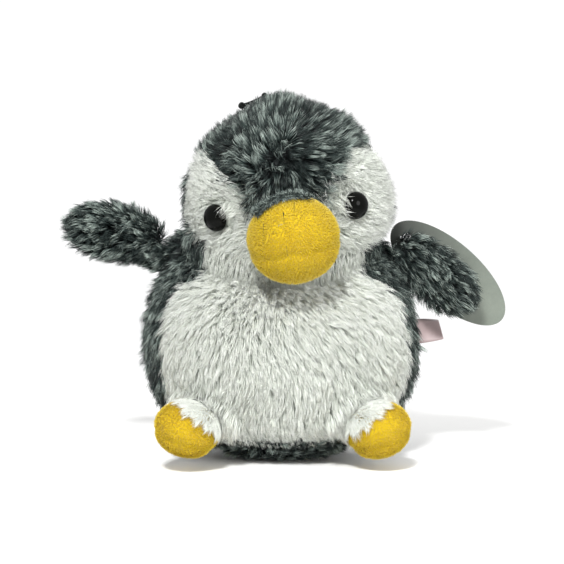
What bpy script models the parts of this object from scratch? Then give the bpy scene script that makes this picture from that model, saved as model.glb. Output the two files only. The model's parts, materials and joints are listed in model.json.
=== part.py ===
"""Plush penguin, about 15 cm tall, as separate sewn panels, fillings and hard fittings.

The penguin faces -Y and stands on Z = 0. Left and right are its own: its left is +X.
Every sewn panel is a closed shell as thick as its backing cloth and the pile on it.
"""
from math import asin, cos, pi, radians, sin, sqrt

import bmesh
import bpy
from mathutils import Matrix, Quaternion, Vector

GAP = 0.0003            # clearance between pieces that touch
PILE = 0.004            # thickness of a panel: backing cloth and pile
FILLING_GAP = 0.0008    # a filling stays clear of the facets of the panels around it

# Torso: egg-shaped rings, wider than deep, that lean forward towards the neck
TORSO_HALF_WIDTH = 0.0540
TORSO_DEPTH_RATIO = 0.86
TORSO_WIDEST_Z = 0.046
TORSO_DROP = 0.0490     # from the widest ring down to where the egg would close
TORSO_RISE = 0.0595     # and up
TORSO_DROP_POWER = 2.1
BASE_TOP_Z = 0.0105     # seam between the base panel and the others
POUCH_TOP_Z = 0.024
BACK_SEAM = radians(101)    # side seam, turned from the front

# Neck: the head and torso end in two shallow cones that leave room for the tilt.
# The neck leans forward: its ring is low under the chin and high at the nape.
NECK = Vector((0.0, 0.0, 0.0860))
NECK_LEAN = radians(23)
NECK_UP = Vector((0.0, -sin(NECK_LEAN), cos(NECK_LEAN)))
NECK_SLOPE = 0.105
HEAD_TILT = radians(-5.5)

# Head: an egg with a drawn-up crown, around its own centre
HEAD_CENTRE = Vector((0.0034, -0.001, 0.1025))
HEAD_HALF_WIDTH = 0.0417
HEAD_HALF_DEPTH = 0.0385
HEAD_RISE = 0.0412
HEAD_DROP = 0.0440
CROWN_POWER = 1.75
GUSSET_FRONT = radians(8)   # half-angle of the head gusset at its tip, under the beak
GUSSET_CROWN = radians(57)
GUSSET_NAPE = radians(24)
SIDE_SEAM = radians(95)     # seam from the crown down the side of the head
GUSSET_START = radians(-12)
SIDE_POLE = radians(88.5)   # the head panels gather around the head's side
FRONT_ROWS = 9              # rows of facets that the gusset shares with the face panels
CHIN_ROWS = 3
BACK_ROWS = 8

# Beak
BEAK_CENTRE = Vector((0.0038, -0.0460, 0.0880))
BEAK_RADII = Vector((0.0178, 0.0180, 0.0165))
BEAK_SKIN = 0.0025
BEAK_NOD = radians(17)      # the mouth seam sags by this much in the middle
BEAK_SEAM_DROP = (0.0010, 0.0035)   # and lies below the middle at its left and right ends

# Eyes, measured on the head before it is tilted
EYE_RADIUS = 0.0053
EYE_X = 0.0280              # from the point between the eyes
EYE_MIDDLE = -0.0013        # that point, from the head's centre
EYE_Z = 0.0982
EYE_DEPTH = 0.0040          # dome's height
EYE_SUNK = 0.0024           # how far the dome sits in the pile
STEM_RADIUS = 0.0018
STEM_LENGTH = 0.0110
WASHER_RADIUS = 0.0060
WASHER_THICK = 0.0014
STEM_CLEARANCE = 0.00035

# Flippers
FLIPPER_LENGTH = 0.0405
FLIPPER_HALF_HEIGHT = 0.0110
FLIPPER_HALF_THICK = 0.0062
FLIPPER_SKIN = 0.0026
SHOULDER = Vector((0.0478, 0.005, 0.0855))
ROOT_RADIUS = 0.0044
FLIPPER_RAISE = {"right": radians(13), "left": radians(-40)}
FLIPPER_FORWARD = {"right": radians(4), "left": radians(22)}
FLIPPER_ROLL = {"right": 0.0, "left": radians(-30)}    # the left one faces up a little

# Feet
FOOT_CENTRE = {
    "left": Vector((0.0349, -0.0370, 0.0154)),
    "right": Vector((-0.0381, -0.0360, 0.0160)),
}
FOOT_RADII = Vector((0.0128, 0.0152, 0.0106))
FOOT_SKIN = 0.0022
FOOT_SPLAY = radians(12)
FOOT_ROLL = radians(20)     # the outer edge rides higher than the inner one
FOOT_SEAM = radians(112)    # stitched edge between the upper and the sole
FOOT_HINGE = Vector((0.0, 0.0065, 0.0075))  # where a foot is sewn on, from its centre
FOOT_CLEARANCE = 0.0010     # between a foot and the belly that it is tucked under

# Trim
TAG_SIZE = (0.0590, 0.0255, 0.0010)
TAG_CENTRE = Vector((0.0690, 0.0145, 0.0727))
TAG_SLOPE = radians(41)
TAG_HOLE = 0.0016
TAG_HOLE_INSET = 0.0070     # from the card's upper end
FASTENER_RADIUS = 0.00055
FASTENER_BAR = 0.0030       # crossbar that holds the card
LABEL_SIZE = (0.0122, 0.0014, 0.0092)
LABEL_Z = 0.0490
LABEL_TURN = radians(10)    # square to the body at the side seam
CORD_RADIUS = 0.0011
LOOP_HALF_WIDTH = 0.0046
LOOP_LEG = 0.0105
LOOP_STAND = 0.0034         # how far the loop's bend stands off the crown
LOOP_X = -0.0095

SIDES = {"left": 1.0, "right": -1.0}

COLOURS = {
    "charcoal_fur": ((0.055, 0.075, 0.072), 0.85),
    "white_fur": ((0.82, 0.86, 0.80), 0.80),
    "yellow_plush": ((0.78, 0.50, 0.03), 0.85),
    "filling": ((0.90, 0.90, 0.88), 0.95),
    "pouch_cloth": ((0.75, 0.75, 0.72), 0.90),
    "eye_plastic": ((0.010, 0.009, 0.009), 0.12),
    "washer_plastic": ((0.80, 0.80, 0.78), 0.45),
    "tag_card": ((0.42, 0.46, 0.41), 0.50),
    "nylon": ((0.85, 0.85, 0.85), 0.35),
    "label_tape": ((0.86, 0.76, 0.74), 0.70),
    "black_cord": ((0.02, 0.025, 0.02), 0.70),
}


def make_materials():
    made = {}
    for name, (colour, roughness) in COLOURS.items():
        material = bpy.data.materials.new(name)
        material.use_nodes = True
        shader = material.node_tree.nodes["Principled BSDF"]
        shader.inputs["Base Color"].default_value = (*colour, 1.0)
        shader.inputs["Roughness"].default_value = roughness
        shader.inputs["Metallic"].default_value = 0.0
        made[name] = material
    return made


def add_object(name, bm, material):
    """Turns bm into an object in the scene, with its faces pointing out."""
    bmesh.ops.remove_doubles(bm, verts=bm.verts, dist=0.00002)
    bmesh.ops.recalc_face_normals(bm, faces=bm.faces)
    if bm.calc_volume(signed=True) < 0:
        bmesh.ops.reverse_faces(bm, faces=bm.faces)
    mesh = bpy.data.meshes.new(name)
    bm.to_mesh(mesh)
    bm.free()
    mesh.shade_smooth()
    mesh.set_sharp_from_angle(angle=radians(50))
    mesh.materials.append(material)
    made = bpy.data.objects.new(name, mesh)
    bpy.context.scene.collection.objects.link(made)
    return made


def shell(name, outer, inner, count, material):
    """One closed panel between two surfaces, each a function of (u, v) from 0 to 1."""
    bm = bmesh.new()
    across, along = count
    layers = []
    for surface in (outer, inner):
        grid = [
            [bm.verts.new(surface(i / across, j / along)) for j in range(along + 1)]
            for i in range(across + 1)
        ]
        for i in range(across):
            for j in range(along):
                bm.faces.new((grid[i][j], grid[i + 1][j], grid[i + 1][j + 1], grid[i][j + 1]))
        layers.append(grid)
    top, under = layers
    rim = [(i, 0) for i in range(across)]
    rim += [(across, j) for j in range(along)]
    rim += [(i, along) for i in range(across, 0, -1)]
    rim += [(0, j) for j in range(along, 0, -1)]
    for (i, j), (k, m) in zip(rim, rim[1:] + rim[:1]):
        bm.faces.new((top[i][j], top[k][m], under[k][m], under[i][j]))
    return add_object(name, bm, material)


def loft(name, rings, material):
    """One closed solid through rings of points, the first and last ring capped."""
    bm = bmesh.new()
    rows = [[bm.verts.new(point) for point in ring] for ring in rings]
    for lower, upper in zip(rows, rows[1:]):
        for k in range(len(lower)):
            n = (k + 1) % len(lower)
            bm.faces.new((lower[k], lower[n], upper[n], upper[k]))
    bm.faces.new(rows[0])
    bm.faces.new(rows[-1])
    return add_object(name, bm, material)


def add_pivot(name, spot):
    """An empty on a joint's axis, for the pieces that turn about it."""
    pivot = bpy.data.objects.new(name, None)
    pivot.location = spot
    bpy.context.scene.collection.objects.link(pivot)
    return pivot


def cut(made, cutter):
    cutter.hide_render = True
    cutter.display_type = "WIRE"
    change = made.modifiers.new("cut", "BOOLEAN")
    change.operation = "DIFFERENCE"
    change.object = cutter
    change.solver = "EXACT"


def lerp(low, high, share):
    return low + (high - low) * share


# ---------------------------------------------------------------- torso

def torso_half_width(z):
    if z < TORSO_WIDEST_Z:
        share = (TORSO_WIDEST_Z - z) / TORSO_DROP
        return TORSO_HALF_WIDTH * (1 - share ** TORSO_DROP_POWER) ** (1 / TORSO_DROP_POWER)
    share = (z - TORSO_WIDEST_Z) / TORSO_RISE
    return TORSO_HALF_WIDTH * sqrt(1 - share * share)


def torso_point(turn, z, inset=0.0):
    """A point on the ring whose centre is at height z, turned from the front to the left."""
    wide = torso_half_width(z) - inset
    deep = torso_half_width(z) * TORSO_DEPTH_RATIO - inset
    rise = max(z - TORSO_WIDEST_Z, 0.0) / (NECK.z - TORSO_WIDEST_Z)
    lean = NECK_LEAN * rise ** 1.5
    point = Vector((
        wide * sin(turn),
        -deep * cos(turn) * cos(lean),
        z - deep * cos(turn) * sin(lean),
    ))
    radius = sqrt((wide * sin(turn)) ** 2 + (deep * cos(turn)) ** 2)
    return point - NECK_UP * (GAP + NECK_SLOPE * radius) * rise ** 4


def belly_seam(share):
    """Turn of the seam between belly and side, from the base (0) to the neck (1)."""
    return radians(72 - 8 * min(share / 0.5, 1) - 10 * max(share - 0.5, 0) / 0.5)


def torso_panel(name, left_edge, right_edge, count, material):
    """A panel from the base seam to the neck; its side edges are functions of height."""
    def surface(inset):
        def point(u, v):
            margin = GAP / TORSO_HALF_WIDTH
            turn = lerp(left_edge(v) + margin, right_edge(v) - margin, u)
            return torso_point(turn, lerp(BASE_TOP_Z + GAP, NECK.z, v), inset)
        return point
    return shell(name, surface(0.0), surface(PILE), count, material)


def toward_neck(rim, side):
    """Two smaller rings that close a filling along its neck cone; side is 1 for the head."""
    rings = []
    for scale in (0.6, 0.2):
        ring = []
        for point in rim:
            arm = (point - NECK) * scale
            arm -= NECK_UP * arm.dot(NECK_UP)
            ring.append(NECK + arm + NECK_UP * side * (GAP + NECK_SLOPE * arm.length))
        rings.append(ring)
    return rings


def make_torso(materials):
    fur = materials["charcoal_fur"]
    torso_panel("belly_panel", lambda v: -belly_seam(v), belly_seam, (14, 10), materials["white_fur"])
    torso_panel("side_panel_left", belly_seam, lambda v: BACK_SEAM, (5, 10), fur)
    torso_panel("side_panel_right", lambda v: -BACK_SEAM, lambda v: -belly_seam(v), (5, 10), fur)
    torso_panel("back_panel", lambda v: BACK_SEAM, lambda v: 2 * pi - BACK_SEAM, (16, 10), fur)
    turns = [2 * pi * k / 32 for k in range(32)]
    flat = torso_half_width(0.0)

    def ring(scale, z):
        wide = flat * scale
        deep = flat * TORSO_DEPTH_RATIO * scale
        return [Vector((wide * sin(t), -deep * cos(t), z)) for t in turns]

    edge = [torso_point(t, BASE_TOP_Z) for t in turns]
    inner_edge = [torso_point(t, BASE_TOP_Z, PILE) for t in turns]
    dish = [ring(0.35, 0.0), ring(0.94, 0.0), [torso_point(t, 0.0025) for t in turns], edge]
    dish += [inner_edge, ring(0.86, PILE), ring(0.35, PILE)]
    loft("base_panel", dish, fur)

    inset = PILE + FILLING_GAP
    pouch = [ring(0.30, PILE + GAP), ring(0.70, PILE + GAP)]
    for z, slack in ((0.008, 0.004), (0.014, 0.003), (POUCH_TOP_Z - 0.002, 0.004), (POUCH_TOP_Z, 0.014)):
        pouch.append([torso_point(t, z, inset + slack) for t in turns])
    loft("pellet_pouch", pouch, materials["pouch_cloth"])
    rings = [[torso_point(t, POUCH_TOP_Z + GAP, 0.02) for t in turns]]
    steps = 8
    for k in range(steps + 1):
        rings.append([
            torso_point(t, lerp(POUCH_TOP_Z + 0.001, NECK.z, k / steps), inset)
            for t in turns
        ])
    rings += toward_neck(rings[-1], -1)
    loft("body_filling", rings, materials["filling"])


# ---------------------------------------------------------------- head, built upright

def head_reach(direction):
    """Distance from the head's centre to its surface along a unit direction."""
    x, y, z = direction
    power = CROWN_POWER if z > 0 else 2.0
    tall = HEAD_RISE if z > 0 else HEAD_DROP
    flat = (abs(x) / HEAD_HALF_WIDTH) ** power + (abs(z) / tall) ** power
    return 1 / sqrt(flat ** (2 / power) + (y / HEAD_HALF_DEPTH) ** 2)


def head_direction(arc, side):
    """arc runs 0 front, 90 crown, 180 back; side runs towards the head's left."""
    return Vector((sin(side), -cos(side) * cos(arc), cos(side) * sin(arc)))


def head_point(arc, side, inset=0.0):
    direction = head_direction(arc, side)
    return HEAD_CENTRE + direction * (head_reach(direction) - inset)


def above_neck(point):
    arm = point - NECK
    up = arm.dot(NECK_UP)
    return up > GAP + NECK_SLOPE * (arm - NECK_UP * up).length


def neck_arc(side, back):
    """Arc at which the head's surface meets the upper neck cone, at front or back."""
    low, high = (radians(120), radians(270)) if back else (radians(-90), radians(0))
    for _ in range(24):
        middle = (low + high) / 2
        if above_neck(head_point(middle, side)) == back:
            low = middle
        else:
            high = middle
    return (low + high) / 2


def gusset_half(arc):
    """Half-width of the head gusset as an angle: narrow at the beak, wide at the crown."""
    if arc < GUSSET_START - GAP:
        return 0.0
    if arc < SIDE_SEAM:
        share = max((arc - GUSSET_START) / (SIDE_SEAM - GUSSET_START), 0.0)
        return lerp(GUSSET_FRONT, GUSSET_CROWN, share ** 0.62)
    share = min((arc - SIDE_SEAM) / radians(120), 1)
    return lerp(GUSSET_CROWN, GUSSET_NAPE, share)


def head_panel(name, side, back, count, material):
    """A face or head-back panel: from the gusset to the side of the head."""
    margin = 1.5 * GAP / HEAD_HALF_WIDTH

    def surface(inset):
        def point(u, v):
            arc = radians(150) if back else 0.0
            turn = 0.5
            for _ in range(12):
                turn = lerp(gusset_half(arc) + margin, SIDE_POLE, u)
                if back:
                    arc = lerp(SIDE_SEAM + margin, neck_arc(turn, True), v)
                    continue
                cheek = lerp(GUSSET_START, radians(-45), u)
                chin = CHIN_ROWS / (CHIN_ROWS + FRONT_ROWS)
                if v < chin:
                    arc = lerp(neck_arc(turn, False), cheek, v / chin)
                else:
                    arc = lerp(cheek, SIDE_SEAM - margin, (v - chin) / (1 - chin))
            return head_point(arc, side * turn, inset)
        return point
    return shell(name, surface(0.0), surface(PILE), count, material)


def gusset_surface(inset):
    margin = GAP / HEAD_HALF_WIDTH

    def point(u, v):
        crown = FRONT_ROWS / (FRONT_ROWS + BACK_ROWS)
        if v < crown:
            arc = lerp(GUSSET_START, SIDE_SEAM, v / crown)
            turn = lerp(-1, 1, u) * (gusset_half(arc) - margin)
            arc += 2 * margin * (1 - v / crown)
            return head_point(arc, turn, inset)
        back = (v - crown) / (1 - crown)
        turn = 0.0
        arc = SIDE_SEAM
        for _ in range(12):
            edge = gusset_half(arc) - margin
            turn = lerp(-1, 1, u) * edge
            arc = lerp(SIDE_SEAM, neck_arc(turn, True), back)
        return head_point(arc, turn, inset)
    return point


def make_head(materials):
    fur = materials["charcoal_fur"]
    rows = FRONT_ROWS + BACK_ROWS
    gusset = shell("head_gusset", gusset_surface(0.0), gusset_surface(PILE), (10, rows), fur)
    faces = {}
    made = [gusset]
    for name, side in SIDES.items():
        rows = CHIN_ROWS + FRONT_ROWS
        faces[name] = head_panel(f"face_panel_{name}", side, False, (9, rows), materials["white_fur"])
        made.append(faces[name])
        made.append(head_panel(f"head_back_{name}", side, True, (8, BACK_ROWS), fur))
    inset = PILE + FILLING_GAP
    turns = [2 * pi * k / 28 for k in range(28)]
    pitches = []
    for t in turns:
        low, high = radians(-80), radians(30)
        for _ in range(24):
            pitch = (low + high) / 2
            d = Vector((cos(pitch) * sin(t), -cos(pitch) * cos(t), sin(pitch)))
            p = HEAD_CENTRE + d * (head_reach(d) - inset)
            low, high = (low, pitch) if above_neck(p) else (pitch, high)
        pitches.append(pitch)
    rings = []
    for share in (0.0, 0.03, 0.12, 0.25, 0.4, 0.55, 0.7, 0.85, 1.0):
        ring = []
        for t, low in zip(turns, pitches):
            pitch = lerp(radians(88), low, share)
            d = Vector((cos(pitch) * sin(t), -cos(pitch) * cos(t), sin(pitch)))
            ring.append(HEAD_CENTRE + d * (head_reach(d) - inset))
        rings.append(ring)
    rings += toward_neck(rings[-1], 1)
    filling = loft("head_filling", rings, materials["filling"])
    made.append(filling)
    for name, side in SIDES.items():
        made += make_eye(name, side, faces[name], filling, materials)
    made += make_beak(materials)
    made.append(make_loop(materials))
    return made


# ---------------------------------------------------------------- eyes

def turned(profile, count):
    """Rings of a turned piece: profile is a list of (radius, distance along -Y)."""
    return [
        [
            Vector((r * cos(2 * pi * k / count), -d, r * sin(2 * pi * k / count)))
            for k in range(count)
        ]
        for r, d in profile
    ]


def eye_matrix(side):
    """Places a turned piece square to the head's surface at the eye."""
    x = EYE_MIDDLE + side * EYE_X
    z = EYE_Z - HEAD_CENTRE.z
    low, high = 0.0, HEAD_HALF_DEPTH
    for _ in range(30):
        y = (low + high) / 2
        reach = sqrt(x * x + y * y + z * z)
        inside = reach < head_reach(Vector((x, -y, z)) / reach)
        low, high = (y, high) if inside else (low, y)
    spot = HEAD_CENTRE + Vector((x, -low, z))
    normal = Vector((x / HEAD_HALF_WIDTH ** 2, -low / HEAD_HALF_DEPTH ** 2, z / HEAD_RISE ** 2))
    turn = Vector((0, -1, 0)).rotation_difference(normal.normalized())
    return Matrix.Translation(spot) @ turn.to_matrix().to_4x4()


def make_eye(name, side, face, filling, materials):
    where = eye_matrix(side)
    sunk = -EYE_SUNK
    dome = [(STEM_RADIUS, sunk - STEM_LENGTH), (STEM_RADIUS, sunk), (EYE_RADIUS, sunk)]
    dome += [
        (EYE_RADIUS * cos(a), sunk + 0.0008 + EYE_DEPTH * sin(a))
        for a in (radians(k) for k in (0, 18, 36, 54, 70, 83))
    ]
    eye = loft(f"eye_{name}", turned(dome, 20), materials["eye_plastic"])
    hole = STEM_RADIUS + STEM_CLEARANCE
    back = -PILE - 0.0028
    washer = [
        (hole, back), (WASHER_RADIUS, back),
        (WASHER_RADIUS, back - WASHER_THICK), (hole, back - WASHER_THICK),
    ]
    rings = turned(washer, 20)
    bm = bmesh.new()
    rows = [[bm.verts.new(point) for point in ring] for ring in rings]
    for lower, upper in zip(rows, rows[1:] + rows[:1]):
        for k in range(20):
            n = (k + 1) % 20
            bm.faces.new((lower[k], lower[n], upper[n], upper[k]))
    washer = add_object(f"eye_washer_{name}", bm, materials["washer_plastic"])
    socket = [
        (hole, -0.02), (hole, sunk - GAP), (EYE_RADIUS + GAP, sunk - GAP), (EYE_RADIUS + GAP, 0.01),
    ]
    pocket = [
        (WASHER_RADIUS + GAP, -STEM_LENGTH - EYE_SUNK - GAP), (WASHER_RADIUS + GAP, 0.0),
    ]
    face_cutter = loft(f"cutter_face_{name}", turned(socket, 20), materials["filling"])
    filling_cutter = loft(f"cutter_filling_{name}", turned(pocket, 20), materials["filling"])
    pieces = [eye, washer, face_cutter, filling_cutter]
    for piece in pieces:
        piece.data.transform(where)
    cut(face, face_cutter)
    cut(filling, filling_cutter)
    return pieces


# ---------------------------------------------------------------- beak

def beak_back_y(x, z):
    """How far back the beak may reach at (x, z): the head's surface, or just off the belly."""
    across = x - HEAD_CENTRE.x
    up = z - HEAD_CENTRE.z
    power = CROWN_POWER if up > 0 else 2.0
    tall = HEAD_RISE if up > 0 else HEAD_DROP
    flat = ((abs(across) / HEAD_HALF_WIDTH) ** power + (abs(up) / tall) ** power) ** (2 / power)
    return HEAD_CENTRE.y - HEAD_HALF_DEPTH * sqrt(max(1 - flat, 0)) - GAP


def beak_point(around, out, inset=0.0):
    """around turns in the XZ plane from +X up; out is 0 at the nodding tip and grows to the rim."""
    radii = BEAK_RADII - Vector((inset, inset, inset))
    front = cos(out)
    up = sin(out) * sin(around)
    return BEAK_CENTRE + Vector((
        radii.x * sin(out) * cos(around),
        -radii.y * (front * cos(BEAK_NOD) + up * sin(BEAK_NOD)),
        radii.z * (up * cos(BEAK_NOD) - front * sin(BEAK_NOD)),
    ))


def beak_rim(around, inset=0.0):
    low, high = radians(40), radians(170)
    for _ in range(30):
        out = (low + high) / 2
        point = beak_point(around, out, inset)
        if point.y < beak_back_y(point.x, point.z):
            low = out
        else:
            high = out
    return low


def make_beak(materials):
    plush = materials["yellow_plush"]
    left, right = (asin(drop / BEAK_RADII.z) for drop in BEAK_SEAM_DROP)

    def surface(first, last, inset, shift):
        def point(u, v):
            around = lerp(first, last, u)
            out = lerp(beak_rim(around, inset), 0.04, v)
            return beak_point(around, out, inset) + Vector((0, 0, shift))
        return point

    spans = {"beak_upper": (-left, pi + right, GAP), "beak_lower": (pi + right, 2 * pi - left, -GAP)}
    made = []
    for name, (first, last, shift) in spans.items():
        outer = surface(first, last, 0.0, shift)
        inner = surface(first, last, BEAK_SKIN, shift)
        made.append(shell(name, outer, inner, (12, 8), plush))
    turns = [2 * pi * k / 24 for k in range(24)]
    inset = BEAK_SKIN + FILLING_GAP
    rings = []
    for share in (0.97, 0.8, 0.6, 0.4, 0.2, 0.0):
        rings.append([
            beak_point(t, lerp(beak_rim(t, inset), 0.04, share), inset) for t in turns
        ])
    rim = rings[-1]
    for scale in (0.6, 0.2):
        ring = []
        for p in rim:
            x = lerp(BEAK_CENTRE.x, p.x, scale)
            z = lerp(BEAK_CENTRE.z, p.z, scale)
            ring.append(Vector((x, beak_back_y(x, z), z)))
        rings.append(ring)
    made.append(loft("beak_filling", rings, materials["filling"]))
    return made


def make_loop(materials):
    """A short hanging loop of cord, sewn in at the crown and lying back on the head."""
    start = radians(92)
    lateral = []
    steps = 5
    for k in range(steps):
        lateral.append((-LOOP_HALF_WIDTH, LOOP_LEG * k / steps))
    for k in range(9):
        turn = pi - pi * k / 8
        lateral.append((LOOP_HALF_WIDTH * cos(turn), LOOP_LEG + LOOP_HALF_WIDTH * sin(turn)))
    for k in range(steps - 1, -1, -1):
        lateral.append((LOOP_HALF_WIDTH, LOOP_LEG * k / steps))
    points = []
    for across, along in lateral:
        side = asin((LOOP_X + across) / HEAD_RISE)
        arc = start + along / HEAD_RISE
        rise = CORD_RADIUS + GAP + LOOP_STAND * along / (LOOP_LEG + LOOP_HALF_WIDTH)
        points.append(head_point(arc, side, -rise))
    curve = bpy.data.curves.new("hanging_loop", "CURVE")
    curve.dimensions = "3D"
    curve.bevel_depth = CORD_RADIUS
    curve.bevel_resolution = 2
    curve.render_resolution_u = 0
    curve.use_fill_caps = True
    spline = curve.splines.new("POLY")
    spline.points.add(len(points) - 1)
    for spot, point in zip(spline.points, points):
        spot.co = (*point, 1.0)
    curve.materials.append(materials["black_cord"])
    made = bpy.data.objects.new("hanging_loop", curve)
    bpy.context.scene.collection.objects.link(made)
    return made


# ---------------------------------------------------------------- flippers and feet

def flipper_half_height(share):
    """Half-height along the flipper, from the round root (0) to the round tip (1)."""
    grow = ROOT_RADIUS + (FLIPPER_HALF_HEIGHT - ROOT_RADIUS) * sin(min(share / 0.5, 1) * pi / 2) ** 1.3
    tip = sqrt(max(1 - (max(share - 0.5, 0) / 0.5) ** 2.4, 0))
    root = sqrt(max(1 - (max(0.09 - share, 0) / 0.09) ** 2, 0))
    return grow * tip * root


def flipper_point(share, around, inset):
    """A point on the left flipper, which lies along +X with its broad side to the front."""
    tall = max(flipper_half_height(share) - inset, 0.0)
    thick = max(
        FLIPPER_HALF_THICK * (flipper_half_height(share) / FLIPPER_HALF_HEIGHT) ** 0.7 - inset, 0.0
    )
    along = lerp(-ROOT_RADIUS + inset, FLIPPER_LENGTH - inset, share)
    return Vector((along, -thick * sin(around), tall * cos(around)))


def make_flipper(name, side, materials):
    fur = materials["charcoal_fur"]
    steps = 12

    def mirrored(share, around, depth):
        x, y, z = flipper_point(share, around, depth)
        return Vector((side * x, y, z))

    def surface(first, depth, shift):
        def point(u, v):
            share = lerp(0.02, 0.985, v)
            return mirrored(share, first + pi * u, depth) + Vector((0, shift, 0))
        return point

    made = []
    for label, first, shift in (("front", 0.0, -GAP / 2), ("back", pi, GAP / 2)):
        outer = surface(first, 0.0, shift)
        inner = surface(first, FLIPPER_SKIN, shift)
        made.append(shell(f"flipper_{name}_{label}", outer, inner, (6, steps), fur))
    inset = FLIPPER_SKIN + FILLING_GAP
    rings = [
        [mirrored(lerp(0.18, 0.93, k / 9), 2 * pi * n / 12, inset) for n in range(12)]
        for k in range(10)
    ]
    made.append(loft(f"flipper_{name}_filling", rings, materials["filling"]))
    pivot = add_pivot(f"flipper_{name}_pivot", (side * SHOULDER.x, SHOULDER.y, SHOULDER.z))
    pivot.rotation_euler = (FLIPPER_ROLL[name], -side * FLIPPER_RAISE[name], -side * FLIPPER_FORWARD[name])
    for piece in made:
        piece.parent = pivot


def foot_point(around, down, inset):
    """down runs 0 at the top to pi at the sole."""
    radii = FOOT_RADII - Vector((inset, inset, inset))
    return Vector((
        radii.x * sin(down) * cos(around),
        radii.y * sin(down) * sin(around),
        radii.z * cos(down),
    ))


def body_cutter(name):
    """The torso's outside with a clearance around it, to cut the feet that tuck under it."""
    turns = [2 * pi * k / 48 for k in range(48)]
    rings = [
        [torso_point(t, lerp(0.001, 0.060, k / 14), -FOOT_CLEARANCE) for t in turns]
        for k in range(15)
    ]
    return loft(name, rings, bpy.data.materials["filling"])


def make_foot(name, side, materials):
    plush = materials["yellow_plush"]
    cutter = body_cutter(f"cutter_foot_{name}")
    made = []
    steps = 6
    for label, tip, shift in (("upper", 0.06, GAP / 2), ("sole", pi - 0.06, -GAP / 2)):
        downs = [lerp(tip, FOOT_SEAM, k / steps) for k in range(steps + 1)]
        rings = [[foot_point(2 * pi * n / 20, down, 0.0) for n in range(20)] for down in downs]
        rings += [
            [foot_point(2 * pi * n / 20, down, FOOT_SKIN) for n in range(20)]
            for down in reversed(downs)
        ]
        for ring in rings:
            for point in ring:
                point.z += shift
        made.append(loft(f"foot_{name}_{label}", rings, plush))
    inset = FOOT_SKIN + FILLING_GAP
    downs = [lerp(0.08, pi - 0.08, k / 9) for k in range(10)]
    rings = [[foot_point(2 * pi * n / 16, down, inset) for n in range(16)] for down in downs]
    made.append(loft(f"foot_{name}_filling", rings, materials["filling"]))
    pivot = add_pivot(f"foot_{name}_pivot", FOOT_CENTRE[name] + FOOT_HINGE)
    for piece in made:
        piece.parent = pivot
        piece.location = -FOOT_HINGE
        piece.rotation_euler = (0, -side * FOOT_ROLL, side * FOOT_SPLAY)
        cut(piece, cutter)


# ---------------------------------------------------------------- trim

def make_tag(materials):
    """An oval card behind the left flipper, on a nylon fastener at the shoulder.

    The card's origin is its hole, where it swings on the fastener.
    """
    length, height, thick = TAG_SIZE
    bm = bmesh.new()
    count = 36
    middle_x = length / 2 - TAG_HOLE_INSET
    layers = []
    for y in (-thick / 2, thick / 2):
        edge = []
        hole = []
        for k in range(count):
            turn = 2 * pi * k / count
            edge_x = middle_x + length / 2 * cos(turn)
            edge.append(bm.verts.new((edge_x, y, height / 2 * sin(turn))))
            hole.append(bm.verts.new((TAG_HOLE * cos(turn), y, TAG_HOLE * sin(turn))))
        layers.append((edge, hole))
        for k in range(count):
            n = (k + 1) % count
            bm.faces.new((edge[k], edge[n], hole[n], hole[k]))
    (edge, hole), (edge_back, hole_back) = layers
    for k in range(count):
        n = (k + 1) % count
        bm.faces.new((edge[k], edge[n], edge_back[n], edge_back[k]))
        bm.faces.new((hole[k], hole[n], hole_back[n], hole_back[k]))
    tag = add_object("hang_tag", bm, materials["tag_card"])
    hole_at = TAG_CENTRE - middle_x * Vector((cos(TAG_SLOPE), 0, -sin(TAG_SLOPE)))
    tag.location = hole_at
    tag.rotation_euler = (0, TAG_SLOPE, 0)

    front = hole_at.y - thick / 2 - FASTENER_RADIUS - GAP
    route = [
        Vector((hole_at.x - FASTENER_BAR, front, hole_at.z)),
        Vector((hole_at.x - 0.0006, front, hole_at.z)),
        Vector((hole_at.x, front + 0.0006, hole_at.z)),
        Vector((hole_at.x, hole_at.y + 0.0012, hole_at.z)),
        Vector((hole_at.x - 0.0010, hole_at.y + 0.0024, hole_at.z - 0.0010)),
        Vector((hole_at.x - 0.0048, hole_at.y + 0.0028, hole_at.z - 0.0068)),
    ]
    curve = bpy.data.curves.new("tag_fastener", "CURVE")
    curve.dimensions = "3D"
    curve.bevel_depth = FASTENER_RADIUS
    curve.bevel_resolution = 1
    curve.render_resolution_u = 0
    curve.use_fill_caps = True
    spline = curve.splines.new("POLY")
    spline.points.add(len(route) - 1)
    for spot, point in zip(spline.points, route):
        spot.co = (*point, 1.0)
    curve.materials.append(materials["nylon"])
    fastener = bpy.data.objects.new("tag_fastener", curve)
    bpy.context.scene.collection.objects.link(fastener)


def make_label(materials):
    """A folded care label, blank, sewn into the left side seam."""
    length, thick, height = LABEL_SIZE
    bm = bmesh.new()
    bmesh.ops.create_cube(bm, size=1.0)
    bmesh.ops.scale(bm, vec=(length, thick, height), verts=bm.verts)
    bmesh.ops.translate(bm, vec=(length / 2 + 3 * GAP, 0, 0), verts=bm.verts)
    label = add_object("sewn_label", bm, materials["label_tape"])
    label.location = torso_point(BACK_SEAM, LABEL_Z)
    label.rotation_euler = (0, 0, LABEL_TURN)


def main():
    for old in list(bpy.data.objects):
        bpy.data.objects.remove(old, do_unlink=True)
    materials = make_materials()
    make_torso(materials)
    head = make_head(materials)
    pivot = add_pivot("head_pivot", NECK)
    pivot.rotation_mode = "QUATERNION"
    pivot.rotation_quaternion = Quaternion((0.0, cos(NECK_LEAN), sin(NECK_LEAN)), HEAD_TILT)
    for piece in head:
        piece.parent = pivot
        piece.matrix_parent_inverse = Matrix.Translation(-NECK)
    for name, side in SIDES.items():
        make_flipper(name, side, materials)
        make_foot(name, side, materials)
    make_tag(materials)
    make_label(materials)


main()
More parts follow.
